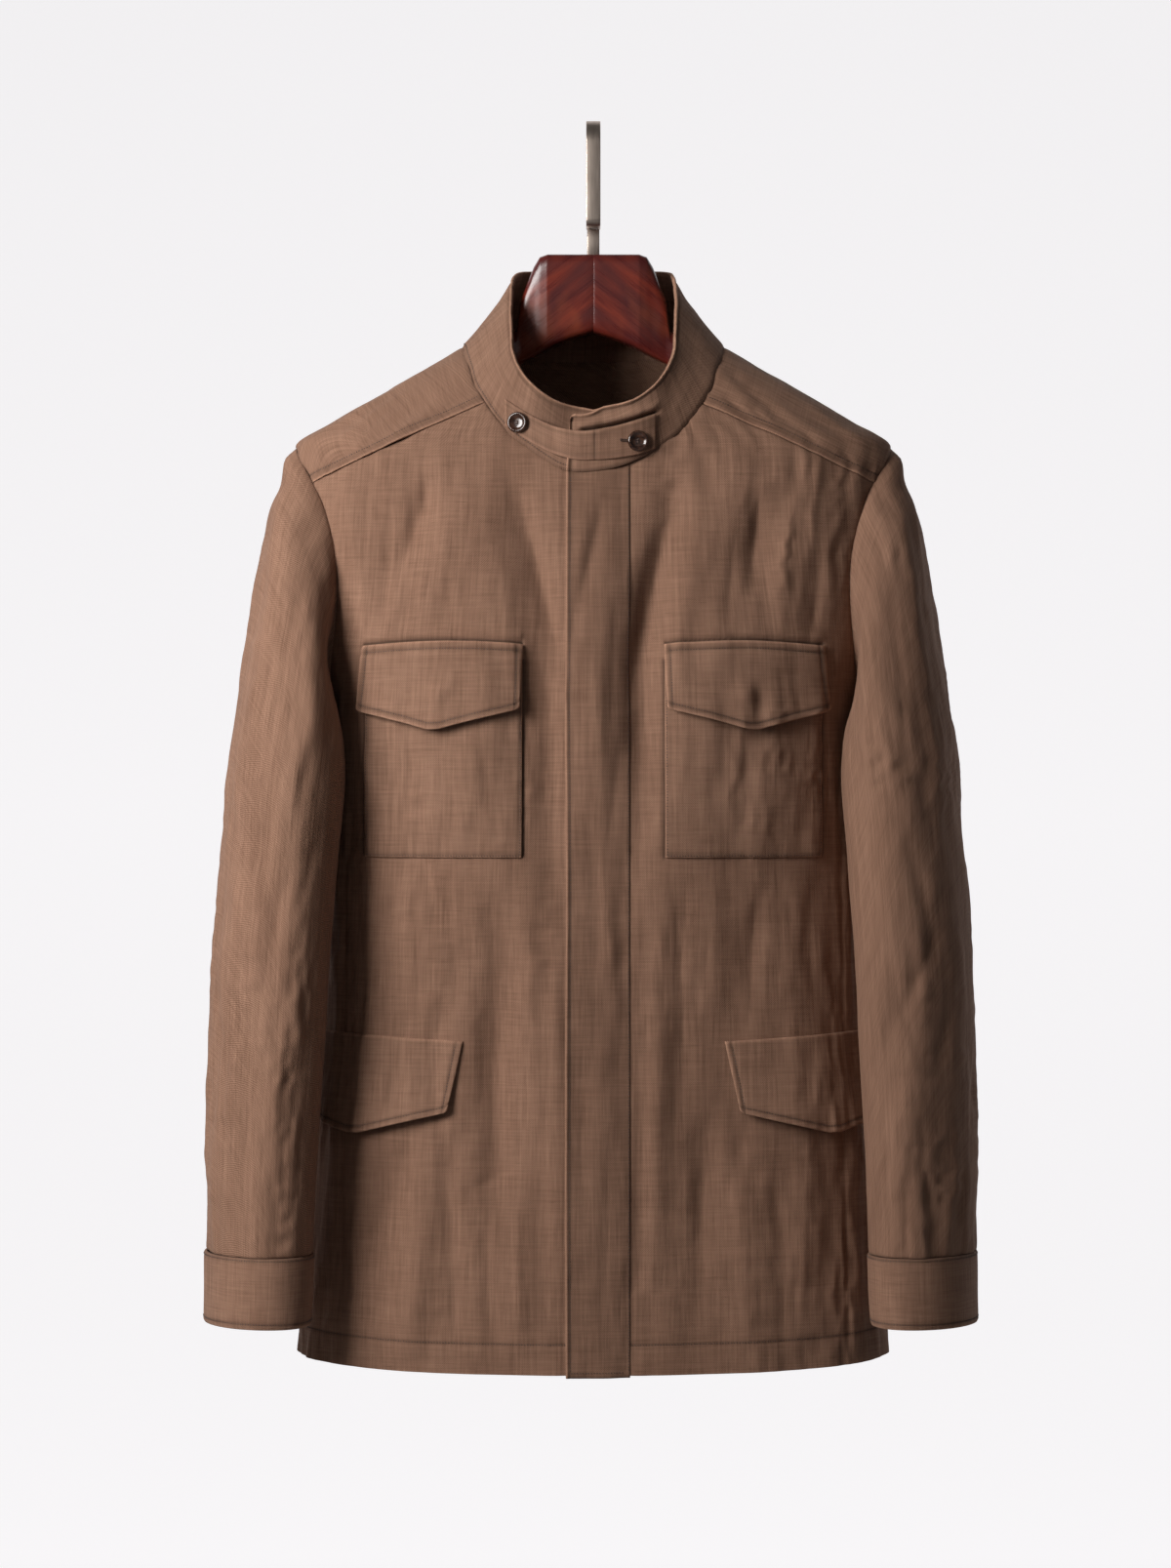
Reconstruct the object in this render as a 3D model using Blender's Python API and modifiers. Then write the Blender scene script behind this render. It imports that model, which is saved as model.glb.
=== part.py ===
"""A field jacket hanging on a wooden hanger.

Metres, +Z up. The origin is the inner top of the hanger's hook, where a rail carries it.
-Y is the jacket's front, +X the wearer's left and -X the wearer's right.

The body's cloth is one smooth surface, body(angle, z): the angle goes round it, 0 at the centre
front, 90 at the wearer's left side, 180 at the centre back and -90 at the right side. The panels
are patches of that surface between the seams, and whatever is sewn on a panel is the same surface
moved out. Every grid of points is the cloth's inner face, and the wall's outer face is that grid
moved out by the cloth's thickness.
"""

import math
from collections import namedtuple

import bmesh
import bpy
import numpy as np
from mathutils import Matrix, Vector

# ---------------------------------------------------------------- driving dimensions

CLOTH = 0.0015            # shell cloth, with what lines it
COLLAR_CLOTH = 0.0020     # the collar is two layers and an interlining
PLACKET_CLOTH = 0.0020    # the fly is folded double
TRIM_CLOTH = 0.0012       # pocket patches, flaps and the collar's tab
CUFF_CLOTH = 0.0026
SEAM_INSET = 0.0002       # each piece stops this far short of a seam's line
LIE = 0.0008              # room under a piece that lies on another
BOW = 0.25                # forward bend of the shoulders: y drops by BOW * x * x

ROUNDNESS = 2.2           # exponent of the body's superelliptic sections
SIDE_SEAM_ANGLE = 104.0   # the side seam runs a little behind the side
SIDE_SEAM_FULL_Z = -0.60  # below this the side seam has reached its angle

SHOULDER_Z = -0.2464      # top of the armhole
ARMPIT_Z = -0.4400
ARMHOLE_HALF_DEPTH = 0.0458
ARMHOLE_STEP = 15         # degrees between the points of the armhole
FRONT_YOKE_STEP = 45      # place on the armhole of the front yoke seam
BACK_YOKE_STEP = 60       # and of the back one

YOKE_NECK_X = 0.0804      # the front yoke seam starts here on the neckline
FRONT_EDGE_RIGHT = 0.0200     # the right front runs on under the fly
FRONT_EDGE_LEFT = 0.0206
FRONT_NECK_X = (0.0450, 0.0640)     # points of the neckline between the fly and the yoke
RIGHT_NECK_X = (0.0000, 0.0225) + FRONT_NECK_X
HEM_Z_FRONT = -0.9338
HEM_Z_SIDE = -0.9260
FLY_X = (-0.0201, -0.0080, 0.0040, 0.0155, 0.0268)
FLY_BOTTOM_Z = -0.9350
FLY_NECK_GAP = 0.0008

POCKET_INNER_X = 0.0527
POCKET_OUTER_X = 0.1680
POCKET_TOP_Z = -0.4080
POCKET_BOTTOM_Z = -0.5540
FLAP_SEAM_ROOM = 0.0100   # depth of a flap's sewn strip above the pocket's mouth
FLAP_LIFT = 0.0030        # a flap's free edge stands off by this much
LOWER_FLAP_X = 0.0961     # inner top corner of a lower flap
LOWER_FLAP_LENGTH = 0.1600
LOWER_FLAP_Z = -0.6893
LOWER_FLAP_RISE = 0.0085  # its sewn edge rises towards the side seam

CUFF_BOTTOM_Z = -0.8965
CUFF_PROUD = 0.0004
SLEEVE_CLEARANCE = 0.0048  # from the sleeve's cloth to the body's
FLAP_ROOM = 0.0020         # more of it beside the lower flaps
SLEEVE_SWING = 0.0020      # both cuffs hang this much towards the wearer's right
SLEEVE_TWIST = 0.0150      # a sleeve's foremost line lies this much inside its middle

COLLAR_LIFT = 0.0028      # the left end lies over the right one
COLLAR_LIFT_END_X = 0.0560
COLLAR_LIFT_FULL_X = 0.0300
COLLAR_OVER_END_X = -0.0198
COLLAR_CORNER = 0.0090    # rounding of the upper corner of the end on top
COLLAR_FRONT_HEIGHT = 0.0480

BUTTON_RADIUS = 0.0078
BUTTON_SEAT = 0.0006      # the tab bends away under a button's edge

HOOK_RADIUS = 0.0170      # inner radius of the hook's bend
HOOK_THICKNESS = 0.0026
HOOK_WIDTH = 0.0108
HOOK_TAIL = 0.0130        # straight end behind the rail
HOOK_BOTTOM_Z = -0.0790
HOOK_SHELF_Y = 0.0045     # the hook's foot reaches back to here, over the stem
STEM_WIDTH = 0.0094
STEM_DEPTH = 0.0050
STEM_CLEARANCE = 0.0003
HANGER_TOP_Z = -0.0992

# ---------------------------------------------------------------- shape tables

Section = namedtuple("Section", "z half_width front back")
SECTIONS = (
    Section(-0.1500, 0.0650, 0.0300, 0.0300),
    Section(-0.1700, 0.0980, 0.0420, 0.0450),
    Section(-0.1900, 0.1314, 0.0520, 0.0580),
    Section(-0.2100, 0.1648, 0.0600, 0.0680),
    Section(-0.2300, 0.1982, 0.0660, 0.0760),
    Section(-0.2464, 0.2235, 0.0705, 0.0810),
    Section(-0.2600, 0.2262, 0.0740, 0.0850),
    Section(-0.3000, 0.2220, 0.0820, 0.0910),
    Section(-0.3500, 0.2150, 0.0890, 0.0925),
    Section(-0.4000, 0.2065, 0.0945, 0.0910),
    Section(-0.4400, 0.2000, 0.0965, 0.0890),
    Section(-0.5000, 0.1990, 0.0975, 0.0840),
    Section(-0.6000, 0.2010, 0.0960, 0.0780),
    Section(-0.7000, 0.2060, 0.0945, 0.0770),
    Section(-0.8000, 0.2120, 0.0960, 0.0800),
    Section(-0.9400, 0.2225, 0.1000, 0.0860),
)

NeckPoint = namedtuple("NeckPoint", "angle z")
NECKLINE = (
    NeckPoint(0.0, -0.2705),
    NeckPoint(4.5, -0.2652),
    NeckPoint(8.5, -0.2564),
    NeckPoint(12.5, -0.2459),
    NeckPoint(17.1, -0.2344),
    NeckPoint(25.5, -0.2158),
    NeckPoint(32.8, -0.2036),
    NeckPoint(41.6, -0.1911),
    NeckPoint(54.6, -0.1800),
    NeckPoint(70.4, -0.1727),
    NeckPoint(90.0, -0.1700),
    NeckPoint(140.0, -0.1730),
    NeckPoint(180.0, -0.1755),
)

RimPoint = namedtuple("RimPoint", "x y z")
COLLAR_RIM = (
    RimPoint(0.0000, -0.0760, -0.2225),
    RimPoint(0.0250, -0.0752, -0.2170),
    RimPoint(0.0410, -0.0728, -0.2070),
    RimPoint(0.0530, -0.0665, -0.1920),
    RimPoint(0.0592, -0.0535, -0.1735),
    RimPoint(0.0602, -0.0320, -0.1450),
    RimPoint(0.0598, -0.0085, -0.1230),
    RimPoint(0.0570, 0.0100, -0.1125),
    RimPoint(0.0480, 0.0260, -0.1085),
    RimPoint(0.0280, 0.0360, -0.1070),
    RimPoint(0.0000, 0.0390, -0.1065),
)

# Soft folds that hang in the body's cloth. A positive depth is a trough, a negative one a ridge.
Fold = namedtuple("Fold", "face x_top z_top x_low z_low half_width depth")
FRONT, BACK = 1, -1
FOLDS = (
    Fold(FRONT, -0.0640, -0.2500, -0.0280, -0.5600, 0.0260, 0.0055),
    Fold(FRONT, -0.1300, -0.2550, -0.1500, -0.3700, 0.0240, 0.0035),
    Fold(FRONT, -0.0920, -0.2900, -0.0850, -0.6200, 0.0260, -0.0030),
    Fold(FRONT, 0.0660, -0.2500, 0.0300, -0.5200, 0.0260, 0.0055),
    Fold(FRONT, 0.1240, -0.2750, 0.1160, -0.4100, 0.0240, 0.0040),
    Fold(FRONT, 0.0760, -0.3300, 0.0600, -0.7800, 0.0280, -0.0030),
    Fold(FRONT, -0.0720, -0.5700, -0.0700, -0.8900, 0.0260, 0.0055),
    Fold(FRONT, -0.1250, -0.7200, -0.1400, -0.9600, 0.0300, -0.0035),
    Fold(FRONT, 0.0950, -0.5900, 0.0800, -0.9600, 0.0280, 0.0040),
    Fold(FRONT, 0.0000, -0.6200, 0.0050, -0.9600, 0.0350, -0.0030),
    Fold(BACK, -0.0700, -0.3000, -0.0900, -0.9600, 0.0320, 0.0060),
    Fold(BACK, 0.0550, -0.3300, 0.0700, -0.9600, 0.0320, 0.0070),
    Fold(BACK, 0.1350, -0.3600, 0.1200, -0.8600, 0.0280, 0.0040),
    Fold(BACK, -0.1450, -0.4200, -0.1350, -0.9000, 0.0280, -0.0040),
)

# Rings of a sleeve: its outer and inner points, the middle of its depth and half that depth.
SleeveRing = namedtuple("SleeveRing", "outer_x outer_z inner_x inner_z centre_y half_depth")
SLEEVE_RINGS = (
    SleeveRing(0.2235, -0.2464, 0.2000, -0.4400, 0.0000, 0.0458),
    SleeveRing(0.2252, -0.2560, 0.2055, -0.4440, -0.0020, 0.0500),
    SleeveRing(0.2352, -0.2770, 0.2030, -0.4480, -0.0060, 0.0550),
    SleeveRing(0.2428, -0.2946, 0.1980, -0.4530, -0.0100, 0.0590),
    SleeveRing(0.2486, -0.3233, 0.1930, -0.4600, -0.0160, 0.0625),
    SleeveRing(0.2530, -0.3482, 0.1885, -0.4690, -0.0210, 0.0645),
    SleeveRing(0.2571, -0.3734, 0.1860, -0.4800, -0.0260, 0.0660),
    SleeveRing(0.2617, -0.4096, 0.1850, -0.4960, -0.0320, 0.0670),
    SleeveRing(0.2656, -0.4390, 0.1858, -0.5130, -0.0370, 0.0670),
    SleeveRing(0.2692, -0.4682, 0.1872, -0.5310, -0.0420, 0.0665),
    SleeveRing(0.2717, -0.4973, 0.1890, -0.5500, -0.0460, 0.0655),
    SleeveRing(0.2734, -0.5263, 0.1905, -0.5700, -0.0500, 0.0640),
    SleeveRing(0.2762, -0.5554, 0.1920, -0.5920, -0.0530, 0.0625),
    SleeveRing(0.2797, -0.6131, 0.1955, -0.6380, -0.0580, 0.0600),
    SleeveRing(0.2822, -0.6710, 0.1975, -0.6870, -0.0610, 0.0575),
    SleeveRing(0.2829, -0.7289, 0.2005, -0.7380, -0.0635, 0.0545),
    SleeveRing(0.2842, -0.7868, 0.2035, -0.7910, -0.0650, 0.0515),
    SleeveRing(0.2835, -0.8445, 0.2057, -0.8445, -0.0660, 0.0490),
)
SLEEVE_BLEND_RINGS = 6    # over these rings the armhole's shape dies away

# The tab's upper and lower edges, seen from the front.
TabPoint = namedtuple("TabPoint", "x upper_z lower_z")
TAB = (
    TabPoint(-0.0644, -0.2150, -0.2345),
    TabPoint(-0.0456, -0.2270, -0.2468),
    TabPoint(-0.0253, -0.2365, -0.2573),
    TabPoint(-0.0087, -0.2394, -0.2610),
    TabPoint(0.0116, -0.2365, -0.2600),
    TabPoint(0.0275, -0.2321, -0.2575),
    TabPoint(0.0449, -0.2260, -0.2518),
)
TAB_COLUMNS = 16
TAB_STEP_X = (-0.0330, -0.0180)    # here the tab climbs onto the collar's upper end
BUTTON_SPOTS = {"right": (-0.0548, -0.2325), "left": (0.0318, -0.2465)}

# A flap's free edge: places along its sewn edge, and how far below it the cloth ends.
FlapPoint = namedtuple("FlapPoint", "along drop")
CHEST_FLAP_TOP_Z = -0.3963
CHEST_FLAP_TOP = (0.0520, 0.1700)
CHEST_FLAP_EDGE = (
    FlapPoint(0.0552, 0.0484),
    FlapPoint(0.1149, 0.0668),
    FlapPoint(0.1712, 0.0484),
)
LOWER_FLAP_EDGE = (
    FlapPoint(0.0110, 0.0530),
    FlapPoint(0.0810, 0.0740),
    FlapPoint(0.1510, 0.0590),
)

HangerSection = namedtuple("HangerSection", "x top bottom half_depth squareness")
HANGER_SECTIONS = (
    HangerSection(0.0000, HANGER_TOP_Z, -0.1584, 0.0150, 6.0),
    HangerSection(0.0160, HANGER_TOP_Z, -0.1628, 0.0150, 6.0),
    HangerSection(0.0345, HANGER_TOP_Z, -0.1712, 0.0150, 6.0),
    HangerSection(0.0405, -0.1012, -0.1742, 0.0145, 5.5),
    HangerSection(0.0450, -0.1085, -0.1766, 0.0135, 5.0),
    HangerSection(0.0550, -0.1330, -0.1815, 0.0115, 4.0),
    HangerSection(0.0580, -0.1560, -0.1840, 0.0105, 3.0),
    HangerSection(0.0750, -0.1655, -0.1940, 0.0125, 2.5),
    HangerSection(0.0980, -0.1728, -0.2085, 0.0160, 2.1),
    HangerSection(0.1400, -0.1972, -0.2345, 0.0195, 2.0),
    HangerSection(0.1750, -0.2180, -0.2560, 0.0210, 2.0),
    HangerSection(0.1930, -0.2288, -0.2640, 0.0205, 2.0),
    HangerSection(0.2010, -0.2370, -0.2610, 0.0140, 2.0),
)
HANGER_SIDES = 20

# ---------------------------------------------------------------- colours

Finish = namedtuple("Finish", "name colour roughness metallic")
TWILL = Finish("brown_twill", (0.170, 0.096, 0.062, 1.0), 0.85, 0.0)
TWILL_TRIM = Finish("brown_twill_trim", (0.180, 0.102, 0.066, 1.0), 0.85, 0.0)
HORN = Finish("dark_horn", (0.035, 0.016, 0.010, 1.0), 0.25, 0.0)
WOOD = Finish("red_brown_wood", (0.120, 0.022, 0.016, 1.0), 0.35, 0.0)
BRONZE = Finish("satin_bronze", (0.330, 0.250, 0.190, 1.0), 0.35, 1.0)


# ---------------------------------------------------------------- curves

def smooth_through(knots, values):
    """A smooth curve through the pairs that never overshoots them."""
    order = np.argsort(knots)
    knots = np.array(knots, dtype=float)[order]
    values = np.array(values, dtype=float)[order]
    steps = np.diff(knots)
    rises = np.diff(values, axis=0) / steps
    slopes = np.zeros_like(values)
    slopes[0], slopes[-1] = rises[0], rises[-1]
    for index in range(1, len(knots) - 1):
        before, after = rises[index - 1], rises[index]
        if before * after > 0.0:
            slopes[index] = 2.0 * before * after / (before + after)

    def curve(knot):
        if knot <= knots[0]:
            return values[0] + slopes[0] * (knot - knots[0])
        if knot >= knots[-1]:
            return values[-1] + slopes[-1] * (knot - knots[-1])
        index = int(np.searchsorted(knots, knot, side="right")) - 1
        step = steps[index]
        t = (knot - knots[index]) / step
        start = (2 * t ** 3 - 3 * t ** 2 + 1) * values[index]
        end = (3 * t ** 2 - 2 * t ** 3) * values[index + 1]
        leave = (t ** 3 - 2 * t ** 2 + t) * step * slopes[index]
        arrive = (t ** 3 - t ** 2) * step * slopes[index + 1]
        return start + end + leave + arrive

    return curve


def column(table, name):
    return [getattr(row, name) for row in table]


def ramp(value, start, end):
    """Goes smoothly from 0 at start to 1 at end."""
    t = min(max((value - start) / (end - start), 0.0), 1.0)
    return t * t * (3.0 - 2.0 * t)


def unit(vectors):
    return vectors / np.linalg.norm(vectors, axis=-1, keepdims=True)


def solve(function, target, low, high):
    """The argument at which a function that rises between low and high reaches the target."""
    for _ in range(50):
        middle = 0.5 * (low + high)
        if function(middle) < target:
            low = middle
        else:
            high = middle
    return 0.5 * (low + high)


def spread(start, end, count):
    """count + 1 evenly spaced values from start to end."""
    return [start + (end - start) * index / count for index in range(count + 1)]


# ---------------------------------------------------------------- the body's surface

half_width = smooth_through(column(SECTIONS, "z"), column(SECTIONS, "half_width"))
front_depth = smooth_through(column(SECTIONS, "z"), column(SECTIONS, "front"))
back_depth = smooth_through(column(SECTIONS, "z"), column(SECTIONS, "back"))
neck_z = smooth_through(column(NECKLINE, "angle"), column(NECKLINE, "z"))


def fold_depth(face, x, z):
    total = 0.0
    for fold in FOLDS:
        if fold.face == face and fold.z_low < z < fold.z_top:
            along = (fold.z_top - z) / (fold.z_top - fold.z_low)
            middle = fold.x_top + (fold.x_low - fold.x_top) * along
            across = (x - middle) / fold.half_width
            total += fold.depth * math.sin(math.pi * along) * math.exp(-across * across)
    return total


def unbowed_body(angle, z):
    sine = math.sin(math.radians(angle))
    cosine = math.cos(math.radians(angle))
    face = FRONT if cosine > 0.0 else BACK
    depth = front_depth(z) if face == FRONT else back_depth(z)
    x = half_width(z) * math.copysign(abs(sine) ** (2.0 / ROUNDNESS), sine)
    y = depth * abs(cosine) ** (2.0 / ROUNDNESS) - fold_depth(face, x, z) * abs(cosine)
    return np.array((x, -face * y, z))


def bowed(point):
    return point - np.array((0.0, BOW * point[0] ** 2, 0.0))


def surface_normal(surface, across, up, across_step, up_step):
    """The outward normal of a surface whose first argument runs to the wearer's left in front."""
    side = surface(across + across_step, up) - surface(across - across_step, up)
    rise = surface(across, up + up_step) - surface(across, up - up_step)
    return unit(np.cross(side, rise))


def body_face(angle, z):
    return bowed(unbowed_body(angle, z))


def body_normal(angle, z):
    return surface_normal(body_face, angle, z, 0.4, 0.001)


def body(angle, z, out=0.0):
    """A point of the body's cloth, moved out along its normal."""
    return body_face(angle, z) + body_normal(angle, z) * out


def angle_at(x, z, face=FRONT):
    """The angle at which the body's section at z reaches x."""
    share = min(abs(x) / half_width(z), 1.0)
    angle = math.degrees(math.asin(share ** (ROUNDNESS / 2.0)))
    return math.copysign(angle if face == FRONT else 180.0 - angle, x)


def angle_along(angle, z, distance):
    """The angle that lies a distance further round the section at z, on the wearer's left."""
    step = 0.5
    point = body_face(angle, z)
    while distance > 0.0:
        following = body_face(angle + step, z)
        length = np.linalg.norm(following - point)
        if length > distance:
            return angle + step * distance / length
        distance -= length
        angle += step
        point = following
    return angle


# ---------------------------------------------------------------- the neck and the collar

def lengths_along(points):
    """The share of a line's length at each of its points, from 0 to 1."""
    steps = np.linalg.norm(np.diff(np.array(points), axis=0), axis=1)
    total = np.concatenate(((0.0,), np.cumsum(steps)))
    return total / total[-1]


NECK_ANGLES = spread(0.0, 180.0, 180)
NECK_SHARES = lengths_along([body_face(angle, neck_z(angle)) for angle in NECK_ANGLES])
RIM_SHARES = lengths_along([tuple(point) for point in COLLAR_RIM])
rim_curves = [smooth_through(RIM_SHARES, column(COLLAR_RIM, axis)) for axis in "xyz"]


def neck_angle(way):
    """way is 0 at the centre front, 1 and -1 at the centre back."""
    return math.copysign(np.interp(abs(way), NECK_SHARES, NECK_ANGLES), way)


def neck_way(angle):
    return math.copysign(np.interp(abs(angle), NECK_ANGLES, NECK_SHARES), angle)


def neck_way_at(x):
    """The place on the neckline, in front, that lies at x."""
    angle = solve(lambda value: body_face(value, neck_z(value))[0], abs(x), 0.0, 60.0)
    return math.copysign(neck_way(angle), x)


def neck_place(way):
    """The angle and height of a place on the neckline."""
    angle = neck_angle(way)
    return angle, neck_z(abs(angle))


def wrapped(way):
    """Brings a way that has passed the centre back into the range from -1 to 1."""
    return (way + 1.0) % 2.0 - 1.0


def collar_face(way, height):
    """The collar's inner face; height is 0 at the neck seam and 1 at the rim."""
    way = wrapped(way)
    share = abs(way)
    base = body_face(*neck_place(way))
    rim = np.array([curve(share) for curve in rim_curves])
    rim[0] = math.copysign(rim[0], way)
    return base + (bowed(rim) - base) * height


def collar_normal(way, height):
    return surface_normal(collar_face, way, height, 0.01, 0.02)


def collar(way, height, out=0.0):
    return collar_face(way, height) + collar_normal(way, height) * out


def mitre(first, second):
    """The shared direction in which two walls that meet at a seam are thick."""
    middle = unit(first + second)
    return middle / max(float(np.dot(middle, first)), 0.75)


def neck_mitre(way):
    return mitre(body_normal(*neck_place(wrapped(way))), collar_normal(way, 0.05))


def collar_lift(x):
    """How far the collar's upper end stands out over the right one."""
    return COLLAR_LIFT * (1.0 - ramp(x, COLLAR_LIFT_FULL_X, COLLAR_LIFT_END_X))


def collar_spot(x, z):
    """The way and height of the collar's point that is seen at x and z from the front."""
    spot = np.array((neck_way_at(x * 1.1), 0.5))
    target = np.array((x, z))
    step = 0.001
    for _ in range(12):
        here = collar_face(*spot)[[0, 2]]
        by_way = (collar_face(spot[0] + step, spot[1])[[0, 2]] - here) / step
        by_height = (collar_face(spot[0], spot[1] + step)[[0, 2]] - here) / step
        spot = spot + np.linalg.solve(np.column_stack((by_way, by_height)), target - here)
    return spot


# ---------------------------------------------------------------- the sleeves' surface

def armhole(turn):
    """A point of the left armhole: angle and z; turn is 0 at the shoulder, 90 in front."""
    share = 0.5 - 0.5 * math.cos(math.radians(turn))
    z = SHOULDER_Z + (ARMPIT_Z - SHOULDER_Z) * share
    y = -ARMHOLE_HALF_DEPTH * math.sin(math.radians(turn))
    return angle_at(side_reach(y, z), z, FRONT if y <= 0.0 else BACK), z


def side_reach(y, z):
    """How far out the body's cloth goes at this depth."""
    depth = front_depth(z) if y < 0.0 else back_depth(z)
    share = min(abs(y) / depth, 1.0)
    return half_width(z) * (1.0 - share ** ROUNDNESS) ** (1.0 / ROUNDNESS)


def sleeve_ellipse(ring, turn, twist=0.0):
    """A sleeve's section, of the ring's width however far its foremost line is moved inwards."""
    cosine = math.cos(math.radians(turn))
    sine = math.sin(math.radians(turn))
    half = math.sqrt((0.5 * (ring.outer_x - ring.inner_x)) ** 2 - twist ** 2)
    x = 0.5 * (ring.outer_x + ring.inner_x) + half * cosine - twist * sine
    z = 0.5 * (ring.outer_z + ring.inner_z) + 0.5 * (ring.outer_z - ring.inner_z) * cosine
    return np.array((x, ring.centre_y - ring.half_depth * sine, z))


def sleeve_face(side, ring_index, turn):
    """A point of a sleeve's inner face on one of its rings; side is 1 for the wearer's left."""
    ring = SLEEVE_RINGS[ring_index]
    hole_angle, hole_z = armhole(turn)
    if ring_index == 0:
        return body_face(side * hole_angle, hole_z)
    hole = unbowed_body(hole_angle, hole_z)
    blend = 1.0 - ramp(ring_index, 0, SLEEVE_BLEND_RINGS)
    point = sleeve_ellipse(ring, turn, SLEEVE_TWIST * (1.0 - blend))
    point = point + (hole - sleeve_ellipse(SLEEVE_RINGS[0], turn)) * blend
    drop = ring_index / (len(SLEEVE_RINGS) - 1)
    point[0] -= side * SLEEVE_SWING * drop ** 3
    room = 2.0 * CLOTH + SLEEVE_CLEARANCE + FLAP_ROOM * ramp(point[2], -0.55, -0.65)
    room *= ramp(ring_index, -1.0, 2.0)
    spare = point[0] - side_reach(point[1], point[2]) - room
    point[0] += 0.5 * (math.hypot(spare, 0.003) - spare)
    return bowed(point * (side, 1.0, 1.0))


def sleeve_turns():
    return [-180 + ARMHOLE_STEP * index for index in range(360 // ARMHOLE_STEP)]


def sleeve_seam_normal(side, turn):
    around = sleeve_face(side, 0, turn + 2.0) - sleeve_face(side, 0, turn - 2.0)
    down = sleeve_face(side, 1, turn) - sleeve_face(side, 0, turn)
    return unit(np.cross(around, down)) * side


def armhole_mitre(side, turn):
    angle, z = armhole(turn)
    return mitre(body_normal(side * angle, z), sleeve_seam_normal(side, turn))


# ---------------------------------------------------------------- making pieces

COLLECTION = bpy.data.collections.new("field_jacket")


def clear_scene():
    for item in list(bpy.data.objects):
        bpy.data.objects.remove(item, do_unlink=True)
    bpy.context.scene.collection.children.link(COLLECTION)


def material(finish):
    made = bpy.data.materials.get(finish.name)
    if made is None:
        made = bpy.data.materials.new(finish.name)
        made.use_nodes = True
        shader = made.node_tree.nodes["Principled BSDF"]
        shader.inputs["Base Color"].default_value = finish.colour
        shader.inputs["Roughness"].default_value = finish.roughness
        shader.inputs["Metallic"].default_value = finish.metallic
        made.diffuse_color = finish.colour
    return made


def add_piece(name, mesh, finish):
    piece = bpy.data.objects.new(name, mesh)
    piece.data.materials.append(material(finish))
    COLLECTION.objects.link(piece)
    return piece


def mesh_from(name, shape):
    mesh = bpy.data.meshes.new(name)
    shape.to_mesh(mesh)
    shape.free()
    mesh.shade_smooth()
    return mesh


def add_grid(shape, points, closed):
    """Adds a grid of points to a bmesh, with its faces; a closed one goes all the way round."""
    rows = [[shape.verts.new(point) for point in row] for row in points]
    columns = len(rows[0])
    for lower, upper in zip(rows, rows[1:]):
        for index in range(columns if closed else columns - 1):
            following = (index + 1) % columns
            shape.faces.new((lower[index], lower[following], upper[following], upper[index]))
    return rows


def join_rims(shape, first, second):
    for index in range(len(first) - 1):
        shape.faces.new((first[index], first[index + 1], second[index + 1], second[index]))


def wall(name, inner, outer, finish, closed=False):
    """A wall of cloth between two grids of points."""
    shape = bmesh.new()
    faces = [add_grid(shape, points, closed) for points in (inner, outer)]
    for row in (0, -1):
        rims = [face[row] + face[row][:1] if closed else face[row] for face in faces]
        join_rims(shape, *rims)
    if not closed:
        for edge in (0, -1):
            join_rims(shape, *[[row[edge] for row in face] for face in faces])
    bmesh.ops.recalc_face_normals(shape, faces=shape.faces)
    return add_piece(name, mesh_from(name, shape), finish)


def sheet(name, points, thickness, finish):
    """An open surface that is made thick on its outer side."""
    shape = bmesh.new()
    add_grid(shape, points, closed=False)
    piece = add_piece(name, mesh_from(name, shape), finish)
    solidify = piece.modifiers.new("thickness", "SOLIDIFY")
    solidify.thickness = thickness
    solidify.offset = 1.0
    return piece


def turned_left_to_right(rows, side):
    """Rows of the wearer's right are turned round, so that both sides face outwards."""
    return rows if side > 0 else [row[::-1] for row in rows]


# ---------------------------------------------------------------- the body's panels

def coons(bottom, top, left, right):
    """A grid of (angle, z) pairs that fills the outline between four edges."""
    bottom, top, left, right = (np.array(edge) for edge in (bottom, top, left, right))
    across = lengths_along(top)[:, None]
    up = lengths_along(left)[:, None]
    rows = []
    for index, share in enumerate(up[:, 0]):
        ruled = bottom * (1.0 - share) + top * share
        ruled = ruled + left[index] * (1.0 - across) + right[index] * across
        below = bottom[0] * (1.0 - across) + bottom[-1] * across
        above = top[0] * (1.0 - across) + top[-1] * across
        rows.append(ruled - below * (1.0 - share) - above * share)
    return np.array(rows)


def panel(name, grid, side_signs, normals, finish=TWILL):
    """A panel of the body's cloth; normals holds the mitred directions at its seams."""
    inner = np.array([[body_face(sign * angle, z) for angle, z in row]
                      for row, sign in zip(grid, side_signs)])
    outward = np.array([[body_normal(sign * angle, z) for angle, z in row]
                        for row, sign in zip(grid, side_signs)])
    for place, normal in normals.items():
        outward[place] = normal
    shift = inset(inner)
    wall(name, inner + shift, inner + shift + outward * CLOTH, finish)


def inset(points, closed=False):
    """The small moves that draw a grid's outline in from its seams."""
    shift = np.zeros_like(points)
    shift[0] += unit(points[1] - points[0])
    shift[-1] += unit(points[-2] - points[-1])
    if not closed:
        shift[:, 0] += unit(points[:, 1] - points[:, 0])
        shift[:, -1] += unit(points[:, -2] - points[:, -1])
    return shift * SEAM_INSET


SIDE_ROWS = 15
CHEST_ROW_DROP = 0.0200   # rows that end at the armpits start lower in the middle
FRONT_SEAM_COLUMNS = 8
BACK_HALF_COLUMNS = 6
YOKE_NECK_ROWS = 3
BACK_NECK_ROWS = 10


def side_seam(z):
    return 90.0 + (SIDE_SEAM_ANGLE - 90.0) * ramp(z, ARMPIT_Z, SIDE_SEAM_FULL_Z), z


def armhole_turns(start, end):
    step = ARMHOLE_STEP if end > start else -ARMHOLE_STEP
    return list(range(start, end + step, step))


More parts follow.
